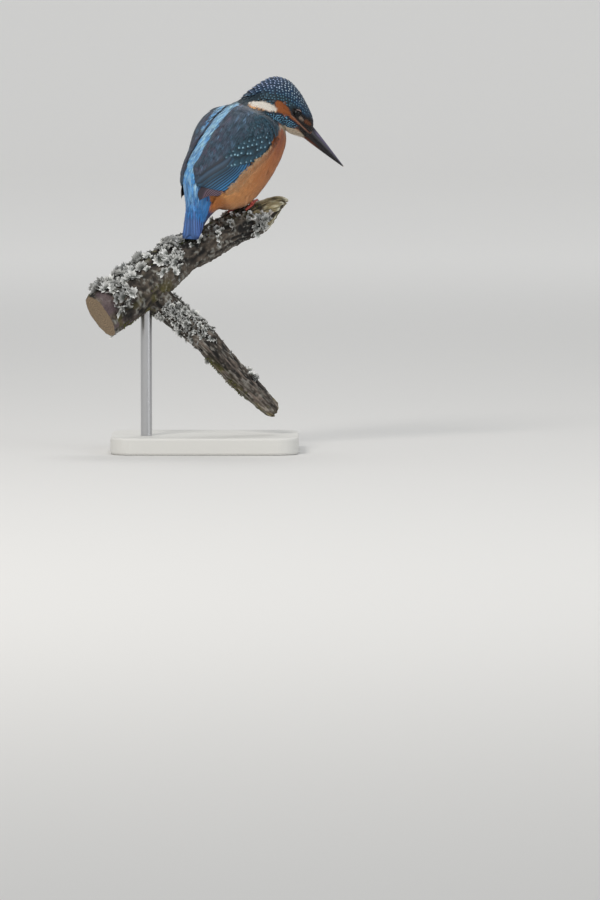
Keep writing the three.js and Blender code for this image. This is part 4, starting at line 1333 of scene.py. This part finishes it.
def bark_colour(limb, s, angle, end, broken):
    """Dark ridged bark with grey crusts, bare weathered wood by the break, moss on one side below."""
    relief, fibre = limb.bark(s, angle), limb.fibre(s, angle)
    above = np.cos(angle)

    def field(length, count, seed):
        return limb.field(s, angle, length * limb.stretch, count, seed)

    def lay(colour, name, amount):
        return mix(colour, PERCH[name], amount[..., None])

    colour = lay(PERCH["crack"], "ridge", ramp(relief, -0.7, 0.9))
    crust = ramp(0.55 * field(3.2, 18, 9) + 0.6 * field(1.1, 56, 10) + 0.35 * relief, 0.2, 0.75)
    colour = lay(colour, "crust", 0.6 * crust * (1.0 if broken else 1 - 0.6 * ramp(s, 40, 60)))
    green = ramp(field(6.0, 10, 11) + 0.5 * field(1.2, 50, 16), 0.25, 0.9)
    colour = lay(colour, "green", 0.7 * green * ramp(above, 0.2, 0.9))
    colour = lay(colour, "purple", 0.7 * ramp(s, 140, 155) * ramp(field(8.0, 24, 14), -0.3, 0.5))
    if broken:
        below = 0.6 * ramp(above, -0.2, -0.7) * ramp(s, 100, 130)
    else:
        below = 0.35 * ramp(above, 0.1, 0.7) * ramp(s, 60, 85)
    colour = lay(colour, "below", below * ramp(field(5.0, 8, 12), -0.3, 0.3))
    if not broken:
        stripe = ramp(field(8.0, 44, 15) + 0.4 * relief, 0.1, 0.5) * ramp(s, 40, 60)
        colour = lay(colour, "stripe", 0.55 * stripe)
        colour = lay(colour, "fleck", 0.35 * ramp(field(2.6, 60, 17), 0.3, 0.6) * ramp(s, 30, 50))
        shadow = ramp(s, 45, 65) * (1 - ramp(field(3.0, 16, 18), -0.3, 0.3))
        colour = colour * mix(1.0, 0.62, shadow)[..., None]
    wood = lay(PERCH["groove"], "wood", ramp(fibre, -0.5, 0.45))
    wood = lay(wood, "stain", 0.5 * ramp(field(9.0, 12, 13), 0.0, 0.6))
    wood = lay(wood, "pale wood", 0.75 * ramp(fibre, 0.5, 0.9))
    return mix(colour, wood, np.maximum(limb.bare(s, angle), end)[..., None])


def dress_limb(limb, name, node, made, rows, columns, broken):
    """A limb with its bark and its two ends as one skin, of rings from end to end."""
    turn = np.linspace(0, 2 * np.pi, columns, endpoint=False)
    inward = np.repeat(np.linspace(0.02, 1, 22)[:-1, None], columns, 1)
    splinter = SPLINTER * uneven(turn * 30 / (2 * np.pi), turn * 0, limb.seed + 20)
    if broken:
        start = np.maximum(past_break(limb, turn, np.ones(columns)) + 0.8 * splinter, 0.2)
        rays = np.repeat(turn[None], len(inward), 0)
        x, y = inward * np.cos(rays), inward * np.sin(rays)
        # three scales of roughness: the weight, size and seed of each, and where it starts
        scales = [(1.0, 7, 22, 8), (0.6, 18, 23, 30), (0.5, 34, 25, 50)]
        rough = sum(weight * uneven(place + x * size, place + y * size, limb.seed + seed)
                    for weight, size, seed, place in scales)
        depth = past_break(limb, rays, inward) + 2.2 * rough * (1 - inward**6)
        front = np.maximum(depth + splinter * 0.8 * inward**3, 0.2)
        ragged = 0.0
    else:
        start = np.full(columns, 0.2)
        front = 0 * inward
        ragged = 3.0 + 3.0 * uneven(turn * 11 / (2 * np.pi), turn * 0, limb.seed + 26)
    sides = start + (limb.length - start) * np.linspace(0, 1, rows)[:, None]
    sides = sides - ragged * ramp(sides, limb.length - 12, limb.length)
    back = inward[::-1]
    rear = limb.length - ragged * back**2 - (0.0 if broken else 3.0 * (1 - back))
    s, share = np.vstack([front, sides, rear]), np.vstack([inward, np.ones((rows, columns)), back])
    a = np.repeat(turn[None], len(s), 0)
    rounding = -1.8 * np.exp(-np.maximum(s - start, 0) / 2.5) * share if broken else 0.0
    points = limb.at(s, a, rounding, share)
    end = ramp(share, 1.0, 0.97)
    colour = bark_colour(limb, s, a, end, broken)
    if broken:
        rim = np.exp(-(((s - start) / 2.2) ** 2)) * ramp(share, 0.5, 1.0) * ramp(limb.fibre(s, a), -0.4, 0.3)
        colour = mix(colour, PERCH["rim"], (0.8 * rim)[..., None])
        # the far end is sawn, and shows its rings
        sawn = end * ramp(s, limb.length - 2, limb.length - 1)
        rings = 0.5 + 0.5 * np.sin(share * 60 + 2 * uneven(share * 6, a, limb.seed + 24))
        colour = mix(colour, mix(PERCH["sawn"], PERCH["ring"], rings[..., None]), sawn[..., None])
    faces = grid_faces(len(s), columns, closed=True)[:, ::-1]
    obj = new_mesh(name, points.reshape(-1, 3) * MM, made, faces)
    add_colour(obj, colour.reshape(-1, 3))
    declare(obj, "bark", node)


def lichen_template(seed):
    """A leafy lichen: a fan of strap-like lobes, forked and turned up at their tips."""
    rng = np.random.default_rng(seed)
    points, light, faces = [], [], []
    lobes = 4
    for k in range(lobes):
        turn = 2.4 * ((k + rng.random()) / lobes - 0.5)
        way = np.array([math.cos(turn), math.sin(turn)])
        aside = np.array([-way[1], way[0]])
        reach = rng.uniform(0.7, 1.3)
        curl = rng.uniform(0.05, 0.5)
        faces.append(grid_faces(4, 3) + len(points))
        for t, half in zip((0.0, 0.3, 0.65, 1.0), (0.14, 0.34, 0.48, 0.38)):
            for across in (-1, 0, 1):
                fork = 0.22 * (t == 1.0) * (across == 0)
                flat = way * reach * (t - fork) + aside * across * half
                crinkle = 0.06 * rng.standard_normal() * t
                points.append((*flat, curl * t**1.5 + 0.16 * abs(across) * t + 0.1 * k + crinkle))
                light.append(ramp(t * (0.75 + 0.25 * abs(across)), 0.1, 0.85))
    colour = mix(PERCH["lichen root"], PERCH["lichen"], np.array(light)[:, None])
    return np.array(points), colour, np.vstack(faces)


def scatter(name, made, template, centre, axes, size, tone):
    """Copies of a coloured template as one mesh, each with axes, a size and a tone of its own."""
    points, colour, faces = template
    spread = np.einsum("mk,nkj->nmj", points, axes) * size[:, None, None]
    placed = (centre[:, None] + spread).reshape(-1, 3) * MM
    obj = new_mesh(name, placed, made, copied(faces, len(points), len(centre)))
    add_colour(obj, (colour * tone[:, None, None]).reshape(-1, 3))
    declare(obj, "bark")


def turned_axes(normal, tilt, toward=(0.0, 0.0, 0.0)):
    """Axes round normals, each tilted from its normal and turned by chance, or mostly one way."""
    n = len(normal)
    lean = unit(normal + RNG.normal(0, 1, (n, 3)) * tilt)
    way = toward + RNG.normal(0, 0.7, (n, 3))
    first = unit(way - lean * (way * lean).sum(-1)[:, None])
    return np.stack([first, np.cross(lean, first), lean], 1)


# Clumps of lichen: how far along, the angle in degrees, their spread in both, how many and how large.
BRANCH_LICHEN = [
    (30, -105, 3.6, 18, 34, 3.8),
    (36, -62, 3, 12, 6, 2.8),
    (58, -75, 7, 20, 14, 2.8),
    (76, -30, 7, 20, 16, 3.2),
    (95, -22, 6, 22, 44, 4.4),
    (104, -75, 6, 20, 30, 4.0),
    (118, 0, 4, 16, 28, 5.0),
    (134, -28, 7, 24, 54, 5.0),
    (146, -80, 6, 18, 24, 4.6),
    (154, -6, 5, 18, 34, 5.4),
    (70, 74, 24, 30, 50, 3.4),
    (128, 74, 20, 36, 70, 4.2),
]
TWIG_LICHEN = [
    (14, -100, 7, 50, 140, 2.7),
    (34, -115, 9, 50, 170, 2.6),
    (54, -125, 8, 40, 24, 2.2),
    (100, 175, 3, 20, 20, 3.2),
    (45, 90, 24, 50, 60, 2.4),
]
LICHEN_WAY = (-0.75, -0.1, 0.35)  # where most lobes point


def dress_lichen(limb, name, clumps, made):
    """Leafy lichen in clumps over a limb, in two kinds of growth."""
    drawn = []
    for middle, degrees, spread, wide, count, large in clumps:
        drawn.append([RNG.normal(middle, spread, count), np.radians(RNG.normal(degrees, wide, count)),
                      large * RNG.uniform(0.5, 1.15, count)])
    s, a, size = np.concatenate(drawn, 1)
    keep = (s > 19) & (s < limb.length - 2)
    s, a, size = s[keep], a[keep], size[keep]
    tone = mix(0.45, 1.1, RNG.uniform(0, 1, len(s)))
    for kind in (0, 1):
        part = np.arange(len(s)) % 2 == kind
        normal = limb.normal(s[part], a[part])
        centre = limb.at(s[part], a[part], -0.1) + RNG.uniform(0, 0.3, (part.sum(), 1)) * normal
        scatter(f"{name}_{kind + 1}", made, lichen_template(kind + 3), centre,
                turned_axes(normal, 0.5, LICHEN_WAY), size[part], tone[part])


def tuft_of_moss():
    """A few short leaning blades from one root."""
    points, height, faces = [], [], []
    blades = 5
    for k in range(blades):
        turn = 2 * np.pi * k / blades
        way = np.array([math.cos(turn), math.sin(turn), 0])
        aside = np.array([-math.sin(turn), math.cos(turn), 0])
        faces.append(grid_faces(3, 2) + len(points))
        for t in (0.0, 0.5, 1.0):
            for edge in (-1, 1):
                across = aside * edge * 0.16 * (1 - 0.8 * t)
                points.append(way * 0.5 * t + across + np.array([0, 0, t - 0.3 * t * t]))
                height.append(t)
    colour = mix(PERCH["moss root"], PERCH["moss"], np.array(height)[:, None])
    return np.array(points), colour, np.vstack(faces)


def dress_moss(limb, name, made, places, count):
    """Tufts of moss along a limb. places are from where to where, the angle in degrees and its spread."""
    which = RNG.integers(0, len(places), count)
    start, end, degrees, wide = np.array(places, float)[which].T
    s, a = RNG.uniform(start, end), np.radians(RNG.normal(degrees, wide))
    keep = uneven(s / 6.0, a * 2, 77) > -0.1
    s, a = s[keep], a[keep]
    tone = RNG.uniform(0.7, 1.2, len(s))
    axes = turned_axes(limb.normal(s, a), 0.3)
    scatter(name, made, tuft_of_moss(), limb.at(s, a), axes, RNG.uniform(0.7, 1.6, len(s)), tone)


def dress_perch():
    bark = grained_material("bark", 0.88, (700.0, 6.0, 0.7), (0.6, 1.25), 0.6, 0.0006)
    lichen = grained_material("lichen", 0.85, (1500.0,), (0.75, 1.1), 0.4, 0.0003)
    moss = grained_material("moss", 0.9, (1500.0,), (0.75, 1.1), 0.4, 0.0003)
    dress_limb(BRANCH_LIMB, "branch_bark", "perch_branch", bark, 340, 230, True)
    dress_limb(TWIG_LIMB, "twig_bark", "perch_twig", bark, 230, 100, False)
    dress_lichen(BRANCH_LIMB, "branch_lichen", BRANCH_LICHEN, lichen)
    dress_lichen(TWIG_LIMB, "twig_lichen", TWIG_LICHEN, lichen)
    dress_moss(BRANCH_LIMB, "branch_moss", moss, [(26, 150, 5, 28), (120, 158, 195, 24)], 900)
    dress_moss(TWIG_LIMB, "twig_moss", moss, [(2, 20, 20, 40), (66, 108, -5, 26)], 420)


# ------------------------------------------------------------------------------ feet
# Where each foot stands and which way its leg leans out, and each toe's turn, length and radius.
FEET = {"right": (33.1, 15.3, -1), "left": (21.5, 16.8, 1)}
TOES = [(58, 9.5, 1.05), (40, 12.5, 1.15), (27, 11.0, 1.1), (184, 7.5, 1.05)]
CLAW = 3.0
CLEARANCE = 0.3  # of a toe from the branch's mean surface
STRIDE = 0.25  # between the places along a toe
SCALE_RINGS = 0.9  # the length of one ring of scales
SCALE_ROWS = 0.12  # and of one row of the toe's mesh


def branch_top(x, y):
    """The height of the branch's top over a place on the stand."""
    fine = BRANCH_LIMB.fine
    rest = fine[:, 3] ** 2 - (x - fine[:, 0]) ** 2 - (y - fine[:, 1]) ** 2
    return np.max(np.where(rest > 0, fine[:, 2] + np.sqrt(np.maximum(rest, 0)), -1e3))


def branch_slope(x, y, reach=0.05):
    """How much the branch's top rises along x and along y."""
    along_x = branch_top(x + reach, y) - branch_top(x - reach, y)
    along_y = branch_top(x, y + reach) - branch_top(x, y - reach)
    return np.array([along_x, along_y]) / (2 * reach)


def walk(x, y, heading, length):
    """Places on the top of the branch along a heading, with the way up from it."""
    at, up = [], []
    way = np.array([math.cos(heading), math.sin(heading)])
    for _ in range(int(length / STRIDE) + 1):
        slope = branch_slope(x, y)
        at.append((x, y, branch_top(x, y)))
        up.append((*-slope, 1.0))
        x, y = (x, y) + STRIDE / math.hypot(1, slope @ way) * way
    return np.array(at), unit(np.array(up))


def scaled_tube(centre, radius, across, relief=0.07):
    """A tube with two round ends and rings of scales, as points and faces."""
    columns = 20
    travelled = travel(centre)
    rows = max(24, int(travelled[-1] / SCALE_ROWS))
    at = np.linspace(0, travelled[-1], rows)
    line = np.stack([np.interp(at, travelled, values) for values in centre.T], -1)
    r = np.interp(at, travelled, radius)
    cap = np.minimum(at, travelled[-1] - at)
    r = r * np.sqrt(np.clip(1 - (1 - np.clip(cap / r, 0, 1)) ** 2, 0.02, 1))
    along = unit(np.gradient(line, axis=0))
    side = unit(across - along * (along @ across)[:, None])
    over = np.cross(side, along)
    turn = np.linspace(0, 2 * np.pi, columns, endpoint=False)[:, None]
    ring = np.abs(np.sin(np.pi * at / SCALE_RINGS))[:, None] ** 0.5 * ramp(np.sin(turn[:, 0]), -0.4, 0.2)
    reach = r[:, None] + relief * (ring - 0.6) * ramp(cap, 0.2, 1.0)[:, None]
    round_it = np.cos(turn) * side[:, None] + np.sin(turn) * over[:, None]
    points = line[:, None] + reach[..., None] * round_it
    faces = [grid_faces(rows, columns, closed=True), end_fans(rows, columns)]
    return np.vstack([points.reshape(-1, 3), line[:1], line[-1:]]), faces


def joined(name, tubes, made):
    """Several tubes as one mesh."""
    points = [tube for tube, _ in tubes]
    before = np.cumsum([0] + [len(tube) for tube in points])
    groups = [np.vstack([faces[kind] + start for (_, faces), start in zip(tubes, before)]) for kind in (0, 1)]
    return new_mesh(name, np.vstack(points) * MM, made, *groups)


def foot_material():
    made = material("foot", Roughness=0.45, Subsurface_Weight=0.1, Subsurface_Scale=0.002)
    nodes = Nodes(made)
    grain = nodes.noise(1800.0, 3.0)
    nodes.colour(nodes.steps(grain, (0.3, srgb("#8f3327")), (0.7, srgb("#c65a4a"))))
    nodes.bump(grain, 0.3, 0.0002)
    return made


def dress_foot(name, skin, horn):
    """A foot with its shank, its four toes along the top of the branch, and their claws."""
    x, y, out = FEET[name]
    toes, claws = [], []
    for turn, length, radius in TOES:
        heading = HEADING + math.radians(turn)
        at, up = walk(x, y, heading, length + CLAW)
        d = STRIDE * np.arange(len(at))
        across = np.array([-math.sin(heading), math.cos(heading), 0])
        pads = 1 + 0.07 * np.cos(2 * np.pi * d / (length / 2))
        pad = radius * pads * mix(1.0, 0.78, np.clip(d / length, 0, 1))
        toe = d <= length + 0.3
        toes.append(scaled_tube((at + up * (radius + CLEARANCE))[toe], pad[toe], across))
        # a claw starts inside its toe, and arches over to its point
        root = length - 0.6
        claw = d >= root
        t = np.clip((d - root) / (CLAW + 0.6), 0, 1)
        height = mix(radius * 1.05, 0.25, t) + 0.5 * np.sin(np.pi * t) + CLEARANCE
        claws.append(scaled_tube((at + up * height[:, None])[claw], mix(0.62, 0.16, t)[claw], across, 0.0))
    ground = np.array([x, y, branch_top(x, y) + 1.5])
    knee = ground + np.array([-3.5, out * 2.2, 11])
    share = np.linspace(0, 1, 30)
    shank = np.interp(share, [0, 0.35, 1], [1.35, 1.3, 3.0])
    toes.append(scaled_tube(mix(ground, knee, share[:, None]), shank, np.array([0.6, 0.8, 0])))
    declare(joined(f"foot_{name}_skin", toes, skin), "foot_skin", f"foot_{name}", f"leg_{name}")
    declare(joined(f"claws_{name}", claws, horn), "foot_skin")


# ------------------------------------------------------------------------------ stage
def stand_material(name, colour, roughness, metallic, scale, depth):
    made = material(name, colour, Roughness=roughness, Metallic=metallic)
    nodes = Nodes(made)
    nodes.bump(nodes.noise(scale, 2.0), depth, 0.0001)
    return made


def dress_stand():
    """The stand keeps its CAD shapes, with a satin steel rod and a matte moulded base."""
    finishes = {
        "stand_rod": stand_material("satin_steel", (0.55, 0.55, 0.56), 0.32, 1.0, 900.0, 0.1),
        "stand_base": stand_material("matte_plastic", (0.66, 0.65, 0.62), 0.6, 0.0, 1500.0, 0.25),
    }
    for node, made in finishes.items():
        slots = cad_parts[node].data.materials
        slots.clear()
        slots.append(made)


def floor_material():
    """A pale floor. Away from the lamps it shines a little for the camera, so that it stays pale."""
    made = material("floor", (0.66, 0.65, 0.635), Roughness=0.8, Emission_Color=(1.0, 0.99, 0.97, 1))
    nodes = Nodes(made)
    place = nodes.add("ShaderNodeSeparateXYZ")
    nodes.feed(place.inputs[0], nodes.object_place())
    lit_middle = -0.6  # m, the middle of the floor that the lamps light
    distance = nodes.math("ABSOLUTE", nodes.math("SUBTRACT", place.outputs["Y"], lit_middle))
    far = nodes.add("ShaderNodeMapRange", interpolation_type="SMOOTHSTEP")
    for socket, value in zip(far.inputs, (distance, 0.9, 4.0, 0.0, 0.3)):
        nodes.feed(socket, value)
    rays = nodes.add("ShaderNodeLightPath").outputs
    seen = nodes.math("ADD", rays["Is Camera Ray"], rays["Is Glossy Ray"])
    seen = nodes.math("ADD", seen, rays["Is Transmission Ray"])
    glow = nodes.math("MULTIPLY", far.outputs["Result"], seen)
    nodes.feed(nodes.shader.inputs["Emission Strength"], glow)
    return made


# The floor and the backdrop behind it, in metres.
STAGE_FRONT, STAGE_DEPTH = -8.0, 6.0
STAGE_WIDTH, STAGE_HEIGHT = 18.0, 4.0
STAGE_CURVE = 1.0  # the radius between the two
LAMPS = [
    ("key", (-0.9, -1.5, 1.6), 0.9, 27, (1.0, 0.97, 0.93)),
    ("fill", (1.5, -1.2, 0.8), 1.2, 9, (0.94, 0.97, 1.0)),
    ("top", (0.1, 0.7, 1.8), 1.0, 9, (1.0, 1.0, 1.0)),
]
LAMPS_AIM = Vector((0.03, 0, 0.17))


def dress_stage():
    bend = np.linspace(0.1, math.pi / 2, 14)
    y = [STAGE_FRONT, STAGE_DEPTH, *(STAGE_DEPTH + STAGE_CURVE * np.sin(bend)), STAGE_DEPTH + STAGE_CURVE]
    z = [0, 0, *(STAGE_CURVE * (1 - np.cos(bend))), STAGE_HEIGHT]
    points = [(x, *place) for place in zip(y, z) for x in (-STAGE_WIDTH / 2, STAGE_WIDTH / 2)]
    new_mesh("backdrop", points, floor_material(), grid_faces(len(y), 2))
    world = bpy.data.worlds.new("studio")
    world.use_nodes = True
    light = world.node_tree.nodes["Background"].inputs
    light["Color"].default_value = (0.95, 0.98, 1.0, 1)
    light["Strength"].default_value = 0.5
    bpy.context.scene.world = world
    for name, place, size, watts, colour in LAMPS:
        light = bpy.data.lights.new(name, "AREA")
        light.shape, light.size, light.energy, light.color = "DISK", size, watts, colour
        lamp = bpy.data.objects.new(name, light)
        lamp.location = place
        lamp.rotation_euler = (LAMPS_AIM - Vector(place)).to_track_quat("-Z", "Y").to_euler()
        bpy.context.scene.collection.objects.link(lamp)


VIEW_DISTANCE = 5.0  # m
VIEW_HEIGHT = 0.6338  # m, at the model
VIEW_ELEVATION = math.radians(4)
VIEW_X = 0.0669  # m, the middle of the view
TIP_OVER_MIDDLE = 0.14852  # m, how far the tail's tip stands above the middle in the view


def place_camera():
    camera = bpy.data.cameras.new("camera")
    camera.sensor_fit = "VERTICAL"
    camera.sensor_height = 36
    camera.lens = camera.sensor_height * VIEW_DISTANCE / VIEW_HEIGHT
    camera.clip_end = 50
    eye = bpy.data.objects.new("camera", camera)
    cos, sin = math.cos(VIEW_ELEVATION), math.sin(VIEW_ELEVATION)
    target = Vector((VIEW_X, BIRD_AT[1] * MM, BIRD_AT[2] * MM - TIP_OVER_MIDDLE / cos))
    eye.location = target + Vector((0, -cos, sin)) * VIEW_DISTANCE
    eye.rotation_euler = (math.pi / 2 - VIEW_ELEVATION, 0, 0)
    bpy.context.scene.collection.objects.link(eye)
    bpy.context.scene.camera = eye
    bpy.context.scene.view_settings.view_transform = "Standard"


dress_skin()
dress_crown()
dress_soft()
dress_back()
dress_tail()
for side_name, side_sign in SIDES.items():
    for dress in (dress_wing_bed, dress_flight, dress_coverts, dress_scapulars):
        dress(side_name, side_sign)
BILL_MADE = grained_material("bill", 0.36, (1400.0, 3.0), (0.8, 1.1), 0.12, 0.0002,
                             Specular_IOR_Level=0.32, Coat_Weight=0.08, Coat_Roughness=0.15)
EYE_MADE = material("eye", srgb("#050303"), Roughness=0.2, Specular_IOR_Level=0.15,
                    Coat_Weight=0.2, Coat_Roughness=0.03)
LID_MADE = lid_material()
FOOT_MADE, CLAW_MADE = foot_material(), material("claw", srgb("#241a18"), Roughness=0.35)
for half_name in BILL_HALVES:
    dress_bill(half_name, BILL_MADE)
for side_name, side_sign in SIDES.items():
    dress_eye(side_name, side_sign, EYE_MADE, LID_MADE)
dress_perch()
for side_name in SIDES:
    dress_foot(side_name, FOOT_MADE, CLAW_MADE)
dress_stand()
dress_stage()
place_camera()
